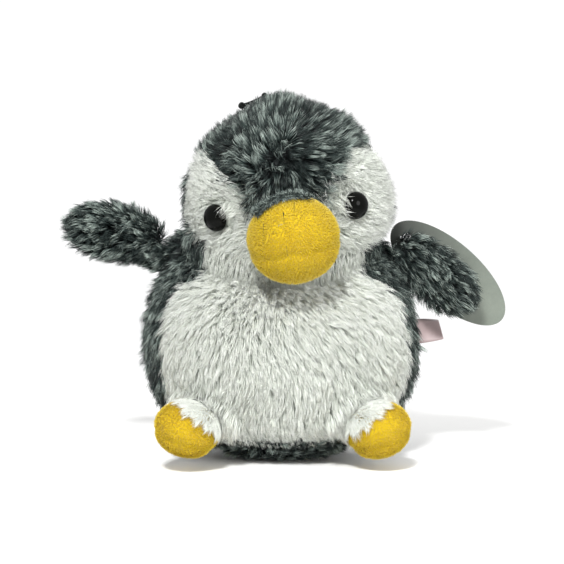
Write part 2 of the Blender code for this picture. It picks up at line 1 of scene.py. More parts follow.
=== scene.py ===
"""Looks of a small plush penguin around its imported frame.

Each sewn body part is a stuffed skin, puffed by a cloth simulation between its seams.
The pile on it is real geometry: thin tapered strands, planted on the skin and combed.
Pieces ride on the CAD bodies: torso, head, flippers, feet, tag and label.
"""

import json
from math import asin, cos, pi, radians, sin, sqrt

import bmesh
import bpy
import numpy as np
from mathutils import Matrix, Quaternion, Vector
from mathutils.bvhtree import BVHTree
from mathutils.kdtree import KDTree


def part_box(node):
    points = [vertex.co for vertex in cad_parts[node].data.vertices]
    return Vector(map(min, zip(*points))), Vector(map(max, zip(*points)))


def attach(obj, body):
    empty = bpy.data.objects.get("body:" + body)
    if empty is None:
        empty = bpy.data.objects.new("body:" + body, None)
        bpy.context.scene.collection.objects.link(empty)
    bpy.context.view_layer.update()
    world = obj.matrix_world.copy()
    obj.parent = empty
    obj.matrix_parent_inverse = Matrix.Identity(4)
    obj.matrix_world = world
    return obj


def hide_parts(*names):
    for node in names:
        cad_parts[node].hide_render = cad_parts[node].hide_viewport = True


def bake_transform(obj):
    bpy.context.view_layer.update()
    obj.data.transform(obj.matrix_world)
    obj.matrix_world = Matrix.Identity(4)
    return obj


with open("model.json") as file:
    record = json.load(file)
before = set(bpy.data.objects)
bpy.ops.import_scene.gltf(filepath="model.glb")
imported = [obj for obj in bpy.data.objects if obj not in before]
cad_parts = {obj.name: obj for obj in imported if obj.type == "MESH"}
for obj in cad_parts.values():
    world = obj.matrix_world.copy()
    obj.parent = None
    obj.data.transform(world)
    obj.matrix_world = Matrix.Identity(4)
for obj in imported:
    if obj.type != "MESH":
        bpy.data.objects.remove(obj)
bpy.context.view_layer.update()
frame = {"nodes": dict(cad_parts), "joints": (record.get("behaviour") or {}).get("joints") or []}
nodes = frame["nodes"]

MM = 0.001
FLOOR_Z = -0.1 * MM          # the floor, a hair under the toy
PILE_DEPTH = 3.4 * MM        # the skin lies this far under the outer surface of the long pile
TONES = 32                   # columns of the pile's palette: one tone each
UV_LAYER = "OFBake"
DETAIL = 1.0


# ---------- camera, light, floor

CAMERA_AZIMUTH = radians(-3)
CAMERA_ELEVATION = radians(3)
CAMERA_DISTANCE = 0.70
CAMERA_TARGET = Vector((0.0, 0.0, 0.070))
VIEW_WIDTH = 0.2256         # width seen at the target
SENSOR = 36.0
WORLD_LIGHT = 0.74
KEY_WATTS = 20.0
FILL_WATTS = 6.0
RIM_WATTS = 2.0
SKY_TO_CAMERA = 1.05        # the backdrop's own brightness
FLOOR_REACH = 6.0
FLOOR_FADE = (0.16, 0.34)   # where the floor starts and ends to fade into the backdrop


def make_camera():
    back = Vector((
        sin(CAMERA_AZIMUTH) * cos(CAMERA_ELEVATION),
        -cos(CAMERA_AZIMUTH) * cos(CAMERA_ELEVATION),
        sin(CAMERA_ELEVATION),
    ))
    data = bpy.data.cameras.new("camera")
    data.sensor_width = SENSOR
    data.lens = SENSOR * CAMERA_DISTANCE / VIEW_WIDTH
    data.clip_start = 0.02
    data.clip_end = 20.0
    camera = bpy.data.objects.new("camera", data)
    camera.location = CAMERA_TARGET + back * CAMERA_DISTANCE
    camera.rotation_mode = "QUATERNION"
    camera.rotation_quaternion = (-back).to_track_quat("-Z", "Y")
    link(camera)
    bpy.context.scene.camera = camera


def link(made):
    bpy.context.scene.collection.objects.link(made)
    return made


def area_light(name, place, aim, size, watts):
    data = bpy.data.lights.new(name, "AREA")
    data.shape = "DISK"
    data.size = size
    data.energy = watts
    lamp = link(bpy.data.objects.new(name, data))
    lamp.location = place
    lamp.rotation_mode = "QUATERNION"
    lamp.rotation_quaternion = (Vector(aim) - Vector(place)).to_track_quat("-Z", "Y")


def make_studio():
    world = bpy.data.worlds.new("studio")
    world.use_nodes = True
    tree = world.node_tree
    background = tree.nodes["Background"]
    background.inputs["Color"].default_value = (1.0, 1.0, 1.0, 1)
    path = tree.nodes.new("ShaderNodeLightPath")
    level = tree.nodes.new("ShaderNodeMapRange")
    level.inputs["To Min"].default_value = WORLD_LIGHT
    level.inputs["To Max"].default_value = SKY_TO_CAMERA
    tree.links.new(path.outputs["Is Camera Ray"], level.inputs["Value"])
    tree.links.new(level.outputs["Result"], background.inputs["Strength"])
    bpy.context.scene.world = world
    bpy.context.scene.view_settings.view_transform = "Standard"
    area_light("key", (-0.22, -1.00, 0.88), (0, 0, 0.07), 0.22, KEY_WATTS)
    area_light("fill", (0.75, -0.85, 0.35), (0, 0, 0.07), 0.55, FILL_WATTS)
    area_light("rim", (0.30, 0.85, 0.80), (0, 0, 0.09), 0.50, RIM_WATTS)
    mesh = bpy.data.meshes.new("floor")
    corners = ((-1, -1), (1, -1), (1, 1), (-1, 1))
    mesh.from_pydata([(x * FLOOR_REACH, y * FLOOR_REACH, 0) for x, y in corners], [], [(0, 1, 2, 3)])
    floor = link(bpy.data.objects.new("floor", mesh))
    floor.location.z = FLOOR_Z
    floor.data.materials.append(floor_material())


# ---------- materials

def srgb(red, green, blue):
    """A colour from 0-255 display values, as the linear colour that shaders take."""
    linear = []
    for value in (red, green, blue):
        share = value / 255
        linear.append(share / 12.92 if share <= 0.04045 else ((share + 0.055) / 1.055) ** 2.4)
    return (*linear, 1.0)


class Shading:
    """A material under construction: its nodes, its links and its Principled shader."""

    def __init__(self, name, roughness, **sockets):
        self.material = bpy.data.materials.new(name)
        self.material.use_nodes = True
        self.tree = self.material.node_tree
        self.shader = self.tree.nodes["Principled BSDF"]
        self.shader.inputs["Roughness"].default_value = roughness
        for key, value in sockets.items():
            self.shader.inputs[key.replace("_", " ")].default_value = value

    def node(self, kind, **settings):
        made = self.tree.nodes.new("ShaderNode" + kind)
        for key, value in settings.items():
            if key in made.inputs:
                made.inputs[key].default_value = value
            else:
                setattr(made, key, value)
        return made

    def join(self, output, socket):
        self.tree.links.new(output, socket)

    def ramp(self, factor, *stops):
        """A colour ramp; each stop is (place, colour)."""
        made = self.node("ValToRGB")
        line = made.color_ramp
        while len(line.elements) < len(stops):
            line.elements.new(0.5)
        for element, (place, colour) in zip(line.elements, stops):
            element.position = place
            element.color = colour
        self.join(factor, made.inputs["Fac"])
        return made.outputs["Color"]

    def mix(self, factor, first, second, kind="MIX"):
        made = self.node("Mix", data_type="RGBA", blend_type=kind)
        for value, index in ((factor, 0), (first, 6), (second, 7)):
            if hasattr(value, "links"):
                self.join(value, made.inputs[index])
            else:
                made.inputs[index].default_value = value
        return made.outputs[2]

    def local(self):
        """The piece's own coordinates."""
        return self.node("TexCoord").outputs["Object"]

    def noise(self, scale, detail=3.0, roughness=0.6):
        where = self.local()
        made = self.node("TexNoise", Scale=scale, Detail=detail, Roughness=roughness)
        self.join(where, made.inputs["Vector"])
        return made.outputs["Fac"]

    def wave(self, scale, direction, distortion):
        where = self.local()
        made = self.node("TexWave", wave_type="BANDS", bands_direction=direction, Scale=scale,
                         Distortion=distortion)
        self.join(where, made.inputs["Vector"])
        return made.outputs["Fac"]

    def between(self, factor, dark, light, low=0.3, high=0.7):
        """Display colours from dark to light as the factor goes from low to high."""
        return self.ramp(factor, (low, srgb(*dark)), (high, srgb(*light)))

    def colour(self, output):
        self.join(output, self.shader.inputs["Base Color"])

    def bump(self, height, strength, distance):
        made = self.node("Bump", Strength=strength, Distance=distance)
        self.join(height, made.inputs["Height"])
        self.join(made.outputs["Normal"], self.shader.inputs["Normal"])


def grey(value):
    return (value, value, value, 1.0)


def floor_material():
    """White paint that fades into the backdrop away from the piece."""
    made = Shading("floor_paint", 0.9)
    made.colour(made.between(made.noise(3.0), (251, 251, 250), (255, 255, 254), 0.35, 0.65))
    where = made.local()
    reach = made.node("VectorMath", operation="LENGTH")
    made.join(where, reach.inputs[0])
    start, end = FLOOR_FADE
    fade = made.ramp(reach.outputs["Value"], (start, grey(1)), (end, grey(0)))
    made.join(fade, made.shader.inputs["Alpha"])
    return made.material


def pile_material(name, roughness, common, rare, share, **sockets):
    """Pile whose palette map runs tone across and root to tip along.

    common and rare are ramps from root to tip, and share is the tone from which the rare
    one starts to show.
    """
    made = Shading(name, roughness, **sockets)
    place = made.node("UVMap", uv_map=UV_LAYER)
    split = made.node("SeparateXYZ")
    made.join(place.outputs["UV"], split.inputs["Vector"])
    tone, along = split.outputs["X"], split.outputs["Y"]
    low = made.ramp(along, *common)
    high = made.ramp(along, *rare)
    pick = made.ramp(tone, (share, grey(0)), (1.0, grey(1)))
    mixed = made.mix(pick, low, high)
    shade = made.ramp(tone, (0.0, grey(0.86)), (share, grey(1.0)))
    made.colour(made.mix(1.0, mixed, shade, "MULTIPLY"))
    return made.material


def knit_material(name, colour):
    """The knitted backing under the pile."""
    made = Shading(name, 0.9)
    dark = [c * 0.8 for c in colour]
    made.colour(made.between(made.noise(900.0), dark, colour))
    made.bump(made.noise(1600.0), 0.5, 0.2 * MM)
    return made.material


def velour_material(name, colour, shade):
    """Short plush, seen between its own pile."""
    made = Shading(name, 0.9, Sheen_Weight=0.25, Sheen_Roughness=0.6)
    made.shader.inputs["Sheen Tint"].default_value = srgb(*colour)
    broad = made.between(made.noise(90.0, 2.0), shade, colour, 0.35, 0.62)
    fine = made.ramp(made.noise(1400.0), (0.3, grey(0.86)), (0.7, grey(1.0)))
    made.colour(made.mix(1.0, broad, fine, "MULTIPLY"))
    made.bump(made.noise(1100.0), 0.6, 0.25 * MM)
    return made.material


def make_materials():
    """All materials, by the name asked for: Blender numbers one whose name the frame has too."""
    made = (
        pile_material(
            "charcoal_pile", 0.40,
            ((0.0, srgb(5, 8, 9)), (0.45, srgb(16, 23, 23)), (1.0, srgb(58, 71, 68))),
            ((0.0, srgb(14, 20, 20)), (0.4, srgb(84, 100, 96)), (1.0, srgb(220, 234, 224))),
            0.56,
            Specular_IOR_Level=0.3,
        ),
        pile_material(
            "white_pile", 0.27,
            ((0.0, srgb(222, 229, 216)), (0.5, srgb(238, 243, 232)), (1.0, srgb(246, 250, 241))),
            ((0.0, srgb(228, 234, 222)), (0.5, srgb(246, 250, 242)), (1.0, srgb(253, 255, 250))),
            0.5,
            Specular_IOR_Level=0.9, Subsurface_Weight=0.5, Subsurface_Scale=1.2 * MM,
            Subsurface_Radius=(1.0, 1.0, 1.0),
        ),
        pile_material(
            "yellow_pile", 0.75,
            ((0.0, srgb(190, 156, 2)), (1.0, srgb(214, 188, 3))),
            ((0.0, srgb(200, 168, 3)), (1.0, srgb(228, 204, 12))),
            0.55,
            Sheen_Weight=0.15,
        ),
        knit_material("charcoal_knit", (30, 36, 36)),
        knit_material("white_knit", (206, 212, 200)),
        velour_material("velour", (206, 176, 3), (190, 158, 3)),
        eye_material(),
        fibre_material(),
        knit_material("pouch", (214, 214, 208)),
        moulded_material("washer", (222, 222, 216), 0.4),
        moulded_material("nylon", (236, 238, 238), 0.25),
        cord_material(),
        card_material(),
        satin_material(),
    )
    return {material.name.split(".")[0]: material for material in made}


def eye_material():
    made = Shading("eye_gloss", 0.05, Specular_IOR_Level=0.07)
    made.colour(made.between(made.noise(60.0), (7, 8, 7), (10, 11, 9)))
    return made.material


def fibre_material():
    """Loose polyester filling."""
    made = Shading("fibre", 0.95, Sheen_Weight=0.3)
    made.colour(made.between(made.noise(260.0, 6.0, 0.75), (214, 216, 212), (246, 247, 244)))
    made.bump(made.noise(420.0, 6.0, 0.8), 0.9, 0.8 * MM)
    return made.material


def moulded_material(name, colour, roughness):
    made = Shading(name, roughness)
    low = [c * 0.94 for c in colour]
    made.colour(made.between(made.noise(500.0), low, colour, 0.35, 0.65))
    made.bump(made.noise(2500.0), 0.15, 0.05 * MM)
    return made.material


def cord_material():
    """Braided cord: slanting strands along the piece's own diagonal."""
    made = Shading("cord", 0.85, Specular_IOR_Level=0.2)
    wave = made.wave(420.0, "DIAGONAL", 2.0)
    made.colour(made.between(wave, (5, 7, 6), (18, 22, 20), 0.2, 0.8))
    made.bump(wave, 0.6, 0.2 * MM)
    return made.material


def card_material():
    """Uncoated card with a faint mottle: painted mid grey as painted shade, darkest on its inner side as the
    flipper's painted shadow.
    """
    made = Shading("card", 0.62)
    # painted shade: the whitish card is coloured mid grey
    broad = made.between(made.noise(55.0, 4.0), (96, 103, 94), (117, 124, 114))
    fine = made.ramp(made.noise(1500.0, 4.0), (0.3, grey(0.92)), (0.7, grey(1.0)))
    where = made.local()
    split = made.node("SeparateXYZ")
    made.join(where, split.inputs["Vector"])
    # painted shadow of the flipper: the card darkens toward its inner side, below x 86 mm
    fade = made.ramp(split.outputs["X"], (0.050, grey(0.22)), (0.086, grey(1.0)))
    shaded = made.mix(1.0, broad, fade, "MULTIPLY")
    made.colour(made.mix(1.0, shaded, fine, "MULTIPLY"))
    made.bump(made.noise(900.0), 0.2, 0.08 * MM)
    return made.material


def satin_material():
    """Woven label tape with fine ribs across it."""
    made = Shading("satin", 0.42, Sheen_Weight=0.2)
    wave = made.wave(900.0, "Z", 0.4)
    made.colour(made.between(wave, (134, 116, 116), (168, 150, 149), 0.2, 0.8))
    made.bump(wave, 0.3, 0.08 * MM)
    return made.material


# ---------- reading the frame

class Surface:
    """The outer faces of some CAD nodes: those that face away from a centre."""

    def __init__(self, names, centre):
        points, faces, self.owner = [], [], []
        for name in names:
            mesh = nodes[name].data
            start = len(points)
            points += [v.co.copy() for v in mesh.vertices]
            for face in mesh.polygons:
                if face.normal.dot((face.center - centre).normalized()) > SEEN_FROM_OUTSIDE:
                    faces.append([start + k for k in face.vertices])
                    self.owner.append(name)
        self.tree = BVHTree.FromPolygons(points, faces)

    def owner_at(self, point):
        index = self.tree.find_nearest(point)[2]
        return self.owner[index]


def span(*names):
    """Centre and half-size of the box around some CAD nodes."""
    boxes = [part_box(name) for name in names]
    low = Vector([min(b[0][k] for b in boxes) for k in range(3)])
    high = Vector([max(b[1][k] for b in boxes) for k in range(3)])
    return (low + high) / 2, (high - low) / 2


def direction(vector):
    return Vector(vector).normalized()


JOINTS = {joint["name"]: joint for joint in frame["joints"]}
NECK = Vector(JOINTS["head_tilt"]["pos_m"])
TILT_AXIS = Vector(JOINTS["head_tilt"]["axis"])
NECK_UP = Vector((0.0, -TILT_AXIS.z, TILT_AXIS.y))
TORSO_NODES = ("belly_panel", "side_panel_left", "side_panel_right", "back_panel", "base_panel")
HEAD_NODES = ("head_gusset", "face_panel_left", "face_panel_right", "head_back_left", "head_back_right")
BEAK_NODES = ("beak_upper", "beak_lower")
WHITE_NODES = ("belly_panel", "face_panel_left", "face_panel_right")
SIDES = {"left": 1.0, "right": -1.0}     # the side's direction along x
SEEDS = {
    "torso": 11, "head": 23, "neck": 31, "flipper_left": 41, "flipper_right": 43, "beak": 51,
    "foot_left": 61, "foot_right": 67, "lashes_left": 71, "lashes_right": 73,
    "shoulder_left": 81, "shoulder_right": 83, "hem_left": 91, "hem_right": 93, "brow": 97,
}


def draws(name):
    """The random draws of one part of the toy."""
    return np.random.default_rng(SEEDS[name])


def foot_nodes(side):
    return (f"foot_{side}_upper", f"foot_{side}_sole")


def flipper_nodes(side):
    return (f"flipper_{side}_front", f"flipper_{side}_back")


def knits(names, looks):
    """The backing cloth of each panel."""
    return {n: looks["white_knit" if n in WHITE_NODES else "charcoal_knit"] for n in names}


# ---------- meshes

def solid(bm, name, look=None, sharp=None):
    """An object made from a bmesh, smooth-shaded, with edges above sharp degrees kept."""
    mesh = bpy.data.meshes.new(name)
    bm.to_mesh(mesh)
    bm.free()
    mesh.shade_smooth()
    if sharp:
        mesh.set_sharp_from_angle(angle=radians(sharp))
    made = link(bpy.data.objects.new(name, mesh))
    if look:
        made.data.materials.append(look)
    return made


def bridge(bm, first, second):
    """A band of faces between two rings of vertices."""
    for k in range(len(first)):
        n = (k + 1) % len(first)
        bm.faces.new((first[k], first[n], second[n], second[k]))


def turns_of(count):
    """Angles spread evenly over a full turn."""
    return [2 * pi * k / count for k in range(count)]


def read(items, key, kind=float):
    """A mesh's values as an array, a row of three for each item."""
    values = np.empty(len(items) * 3, kind)
    items.foreach_get(key, values)
    return values.reshape(-1, 3)


def hold(piece, body, slot, *replaced):
    """Puts a piece on a body; given two of them, (first, second, start, end), it leaves the piece where it
    stands.
    """
    if isinstance(body, str):
        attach(piece, body)
    else:
        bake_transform(piece)
    if replaced:
        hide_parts(*replaced)


# ---------- stuffed skins

SIM_SCALE = 12.0            # cloth is stepped at the size of a cushion, then brought back
SIM_FRAMES = 16
SMOOTHINGS = 3
NUDGES = (0.4, 0.8, 1.3)    # mm by which a ray that slips through a seam is moved
RAY_START = 0.3             # rays at the toy start this far from its middle
SEEN_FROM_OUTSIDE = 0.15    # a face counts as outer above this cosine to the centre


def wrapped(name, names, centre, depth, detail, backing=()):
    """A closed skin: an icosphere drawn onto CAD nodes from outside, depth under them.

    Where the nodes are open, as at the neck, it lies on the backing nodes instead.
    """
    centre = Vector(centre)
    surface = Surface(names, centre)
    back = Surface(backing, centre) if backing else None
    _, half = span(*names)
    nudges = [Vector()]
    for size in NUDGES:
        for x, y in ((1, 0), (-1, 0), (0, 1), (0, -1)):
            nudges.append(Vector((x, y, 0)) * size * MM / max(half))
    bm = bmesh.new()
    bmesh.ops.create_icosphere(bm, subdivisions=detail, radius=1.0)
    owners = []
    for vert in bm.verts:
        out = vert.co.normalized()
        side = out.orthogonal().normalized()
        other = out.cross(side)
        found = None
        for nudge in nudges:
            ray = (out + side * nudge.x + other * nudge.y).normalized()
            hit = surface.tree.ray_cast(centre + ray * RAY_START, -ray)
            if hit[0] is not None and (hit[0] - centre).dot(ray) > 0:
                found = (hit[0], surface.owner[hit[2]], depth)
                break
        if found is None and back:
            hit = back.tree.ray_cast(centre + out * RAY_START, -out)
            if hit[0] is not None:
                found = (hit[0], back.owner[hit[2]], -0.1 * MM)
        if found is None:
            found = (centre + out * MM, names[0], 0.0)
        reach = (found[0] - centre).length
        vert.co = centre + out * (reach - found[2])
        owners.append(found[1])
    for _ in range(SMOOTHINGS):
        bmesh.ops.smooth_vert(
            bm, verts=bm.verts, factor=0.5, use_axis_x=True, use_axis_y=True, use_axis_z=True,
        )
    return solid(bm, name), owners


def seam_vertices(skin, owners):
    """The vertices on the lines where two panels meet."""
    found = set()
    for edge in skin.data.edges:
        a, b = edge.vertices
        if owners[a] != owners[b]:
            found.update((a, b))
    return sorted(found)


def puff(skin, owners, pressure, cap):
    """Blows a skin up between its seams by a short cloth simulation, by cap at most."""
    rest = read(skin.data.vertices, "co")
    middle = rest.mean(0)
    skin.data.vertices.foreach_set("co", ((rest - middle) * SIM_SCALE).ravel())
    group = skin.vertex_groups.new(name="seam")
    group.add(seam_vertices(skin, owners), 1.0, "REPLACE")
    cloth = skin.modifiers.new("stuffing", "CLOTH")
    settings = cloth.settings
    settings.quality = 5
    settings.mass = 0.2
    settings.tension_stiffness = 12
    settings.compression_stiffness = 12
    settings.bending_stiffness = 1.5
    settings.use_pressure = True
    settings.uniform_pressure_force = pressure
    settings.effector_weights.gravity = 0
    settings.vertex_group_mass = "seam"
    cloth.collision_settings.use_collision = False
    cloth.collision_settings.use_self_collision = False
    scene = bpy.context.scene
    for step in range(1, SIM_FRAMES + 1):
        scene.frame_set(step)
    shape = skin.evaluated_get(bpy.context.evaluated_depsgraph_get()).to_mesh()
    blown = read(shape.vertices, "co")
    skin.modifiers.remove(cloth)
    skin.vertex_groups.remove(group)
    scene.frame_set(1)
    move = blown / SIM_SCALE + middle - rest
    size = np.linalg.norm(move, axis=1, keepdims=True)
    move *= np.minimum(1.0, cap / np.maximum(size, 1e-9))
    skin.data.vertices.foreach_set("co", (rest + move).ravel())
    skin.data.update()


def colour_by_owner(skin, owners, looks):
    """Gives each face the material of its panel: looks maps a node to a material."""
    order = []
    for look in looks.values():
        if look not in order:
            order.append(look)
            skin.data.materials.append(look)
    for face in skin.data.polygons:
        owner = owners[face.vertices[0]]
        face.material_index = order.index(looks.get(owner, order[0]))


# ---------- pile

LENGTH_SPREAD = (0.72, 1.08)
WIDTH_SPREAD = (0.75, 1.2)
ROOT_SWAY = 0.4             # share of its sway that a strand has at the root
GATHER_SPREAD = (0.6, 1.0)
GATHER_POWER = 1.6          # a clump's strands meet toward their tips
BOX_SHARE = 1.3             # a coat's area, over half that of the box around it
LOWEST = 0.3 * MM           # no strand goes under this height
THICKEN = (0.75, 0.5)       # width at the root, and what it gains toward the tip
POINTED = 2.2               # how late the strand narrows to its tip
PILE_SLOTS = {"charcoal": "charcoal_fur", "white": "white_fur", "yellow": "yellow_plush"}
FACES_IN_ONE_PIECE = 190000


class Roots:
    """The points where strands stand, with the skin's normal at each."""

    def __init__(self, place, normal):
        self.place = place
        self.normal = normal

    def owners(self, surface):
        return np.array([surface.owner_at(Vector(p)) for p in self.place])

    def keep(self, chosen):
        return Roots(self.place[chosen], self.normal[chosen])


def scatter(skin, per_mm2, rng):
    """Roots spread evenly over a skin."""
    mesh = skin.data
    mesh.calc_loop_triangles()
    points = read(mesh.vertices, "co")
    normals = read(mesh.vertices, "normal")
    corners = read(mesh.loop_triangles, "vertices", np.int32)
    a, b, c = (points[corners[:, k]] for k in range(3))
    area = np.linalg.norm(np.cross(b - a, c - a), axis=1) / 2
    wanted = area / MM ** 2 * per_mm2 * DETAIL
    count = np.floor(wanted + rng.random(len(wanted))).astype(int)
    pick = np.repeat(np.arange(len(count)), count)
    u = rng.random(len(pick))
    v = rng.random(len(pick))
    flip = u + v > 1
    u[flip], v[flip] = 1 - u[flip], 1 - v[flip]
    shares = np.stack((1 - u - v, u, v), 1)

    def at_roots(values):
        return sum(values[corners[pick, k]] * shares[:, k:k + 1] for k in range(3))

    return Roots(at_roots(points), unit(at_roots(normals)))


def unit(vectors):
    return vectors / np.maximum(np.linalg.norm(vectors, axis=-1, keepdims=True), 1e-12)


def along_surface(directions, normals):
    """The part of each direction that lies in the surface, at unit length."""
    return unit(directions - (directions * normals).sum(1, keepdims=True) * normals)


def drift(place, size, rng):
    """Slow random turns of the comb over a coat: a sum of a few waves, as vectors."""
    turned = np.zeros_like(place)
    for _ in range(5):
        wave = rng.normal(size=3) / size
        phase = rng.uniform(0, 2 * pi)
        turned += np.sin(place @ wave + phase)[:, None] * rng.normal(size=3)
    return turned / sqrt(5)


def clump_centres(place, spacing, rng):
    """For each root, the index of the root that leads its clump."""
    total = len(place)
    leaders = rng.permutation(total)
    extent = place.max(0) - place.min(0)
    guess = (extent[0] * extent[1] + extent[1] * extent[2] + extent[0] * extent[2]) * BOX_SHARE
    leaders = leaders[:max(8, min(total, int(guess / (spacing * spacing))))]
    tree = KDTree(len(leaders))
    for index in leaders:
        tree.insert(Vector(place[index]), int(index))
    tree.balance()
    return np.array([tree.find(Vector(p))[1] for p in place])


def comb_strands(roots, comb, style, rng, obstacles=()):
    """Paths of all strands as an array (strand, level, 3)."""
    total = len(roots.place)
    levels = style["segments"] + 1
    length = style["length"] * rng.uniform(*LENGTH_SPREAD, total) * style.get("scale", np.ones(total))
    sway = unit(rng.normal(size=(total, 3))) * style["mess"]
    lead = clump_centres(roots.place, style["clump"], rng)
    lean = rng.normal(size=(total, 3)) * style["clump_lean"]
    sway += lean[lead] + drift(roots.place, style["drift_size"], rng) * style["drift"]
    lift_root, lift_tip = style["lift"]
    step = (length / style["segments"])[:, None]
    path = [roots.place.copy()]
    for level in range(style["segments"]):
        share = level / max(style["segments"] - 1, 1)
        rise = (lift_root + (lift_tip - lift_root) * share + style.get("raised", np.zeros(total)))[:, None]
        way = comb * np.cos(rise) + roots.normal * np.sin(rise) + sway * (ROOT_SWAY + (1 - ROOT_SWAY) * share)
        way[:, 2] -= style["droop"] * share
        path.append(path[-1] + unit(way) * step)
    path = np.stack(path, 1)
    pull = style["gather"] * rng.uniform(*GATHER_SPREAD, total)[:, None, None]
    shares = (np.arange(levels) / (levels - 1))[None, :, None] ** GATHER_POWER
    path += (path[lead] - path) * pull * shares
    for surface, margin, low, high in obstacles:
        push_out(path, surface, margin, low, high)
    path[:, 1:, 2] = np.maximum(path[:, 1:, 2], LOWEST)
    return path, lead


def push_out(path, surface, margin, low, high):
    """Moves strand points out of a surface, to lie margin above it."""
    inside = ((path > low) & (path < high)).all(2)
    inside[:, 0] = False
    for strand, level in zip(*np.nonzero(inside)):
        point = Vector(path[strand, level])
        spot, normal, _, _ = surface.tree.find_nearest(point)
        if (point - spot).dot(normal) < margin:
            path[strand, level] = spot + normal * margin


def obstacle(names, margin):
    """Something that strands lie on and don't go through."""
    centre, half = span(*names)
    room = Vector((2, 2, 2)) * MM
    return Surface(names, centre), margin, np.array(centre - half - room), np.array(centre + half + room)


def strand_mesh(name, path, radius, tones, rng):
    """Closed tapered strands with three sides, and the palette map on them."""
    total, levels, _ = path.shape
    ahead = np.empty_like(path)
    ahead[:, :-1] = path[:, 1:] - path[:, :-1]
    ahead[:, -1] = ahead[:, -2]
    ahead = unit(ahead)
    turn = unit(rng.normal(size=(total, 1, 3)))
    side = unit(np.cross(ahead, np.broadcast_to(turn, path.shape)))
    other = np.cross(ahead, side)
    rings = levels - 1
    share = np.arange(rings) / rings
    taper = (THICKEN[0] + THICKEN[1] * share) * (1 - share ** POINTED)
    size = (radius[:, None] * taper[None, :])[:, :, None, None]
    angle = np.array([0.0, 2 * pi / 3, 4 * pi / 3])
    ring = side[:, :rings, None, :] * np.cos(angle)[None, None, :, None]
    ring = ring + other[:, :rings, None, :] * np.sin(angle)[None, None, :, None]
    ring = path[:, :rings, None, :] + ring * size
    each = rings * 3 + 1
    points = np.concatenate((ring.reshape(total, rings * 3, 3), path[:, -1:, :]), 1)
    faces, sizes = [[2, 1, 0]], [3]
    for level in range(rings - 1):
        for k in range(3):
            n = (k + 1) % 3
            low = level * 3
            faces.append([low + k, low + n, low + 3 + n, low + 3 + k])
            sizes.append(4)
    last = (rings - 1) * 3
    for k in range(3):
        faces.append([last + k, last + (k + 1) % 3, each - 1])
        sizes.append(3)
    pattern = np.array([k for face in faces for k in face])
    loops = (pattern[None, :] + (np.arange(total) * each)[:, None]).ravel()
    sizes = np.tile(np.array(sizes), total)
    starts = np.concatenate(([0], np.cumsum(sizes)[:-1]))
    mesh = bpy.data.meshes.new(name)
    mesh.vertices.add(total * each)
    mesh.vertices.foreach_set("co", points.astype(np.float32).ravel())
    mesh.loops.add(len(loops))
    mesh.loops.foreach_set("vertex_index", loops.astype(np.int32))
    mesh.polygons.add(len(sizes))
    mesh.polygons.foreach_set("loop_start", starts.astype(np.int32))
    mesh.update(calc_edges=True)
    mesh.shade_smooth()
    across = np.concatenate((np.tile([-0.3, 0.0, 0.3], rings), [0.0]))
    up = np.concatenate((np.repeat(share, 3), [1.0])) * 0.96 + 0.02
    column = (tones[:, None] + 0.5 + across[None, :]) / TONES
    places = np.stack((column, np.broadcast_to(up, column.shape)), 2).reshape(-1, 2)
    layer = mesh.uv_layers.new(name=UV_LAYER)
    layer.data.foreach_set("uv", places[loops].astype(np.float32).ravel())
    return link(bpy.data.objects.new(name, mesh))


def tones_for(lead, spread, rng):
    """A tone for each strand: its clump's tone with some spread."""
    clump = rng.random(len(lead))[lead]
    own = rng.random(len(lead))
    mixed = clump * (1 - spread) + own * spread
    order = mixed.argsort().argsort() / max(len(mixed), 1)
    return np.minimum((order * TONES).astype(int), TONES - 1)


def grow(name, roots, comb, style, colour, looks, body, rng, obstacles=(), node=None):
    """One coat of pile, in pieces small enough for a part's mesh file."""
    path, lead = comb_strands(roots, comb, style, rng, obstacles)
    widen = 1.0 / sqrt(DETAIL)
    radius = style["width"] / 2 * rng.uniform(*WIDTH_SPREAD, len(path)) * widen
    tones = tones_for(lead, style["tone_spread"], rng)
    faces_each = 3 * 2 * (style["segments"] - 1) + 4
    limit = FACES_IN_ONE_PIECE // faces_each
    parts = max(1, -(-len(path) // limit))
    for part in range(parts):
        chosen = slice(part, None, parts)
        label = name if parts == 1 else f"{name}_{part + 1}"
        coat = strand_mesh(label, path[chosen], radius[chosen], tones[chosen], rng)
        coat.data.materials.append(looks[f"{colour}_pile"])
        hold(coat, body, PILE_SLOTS[colour], *([node] if node else []))


def grow_panels(coats, roots, owner, clear, scale, raised, looks, body, rng):
    """The coats of a body's panels, each on the clear roots that its own panel owns."""
    for node, name, style, comb, colour, near in coats:
        chosen = (owner == node) & clear
        mine = roots.keep(chosen)
        cut = dict(STYLES[style], scale=scale[chosen], raised=raised[chosen])
        grow(name, mine, comb(mine.place, mine.normal), cut, colour, looks, body, rng, near, node)


def coat_style(length, width, clump, drift_size, lift, **rest):
    """How a coat grows, from millimetres and degrees.

    lift is the strand's angle to the skin at its root and at its tip.
    """
    style = dict(segments=3, mess=0.26, clump_lean=0.26, droop=0.10, tone_spread=0.4, drift=0.30)
    style.update(
        length=length * MM, width=width * MM, clump=clump * MM, drift_size=drift_size * MM,
        lift=(radians(lift[0]), radians(lift[1])), **rest,
    )
    return style


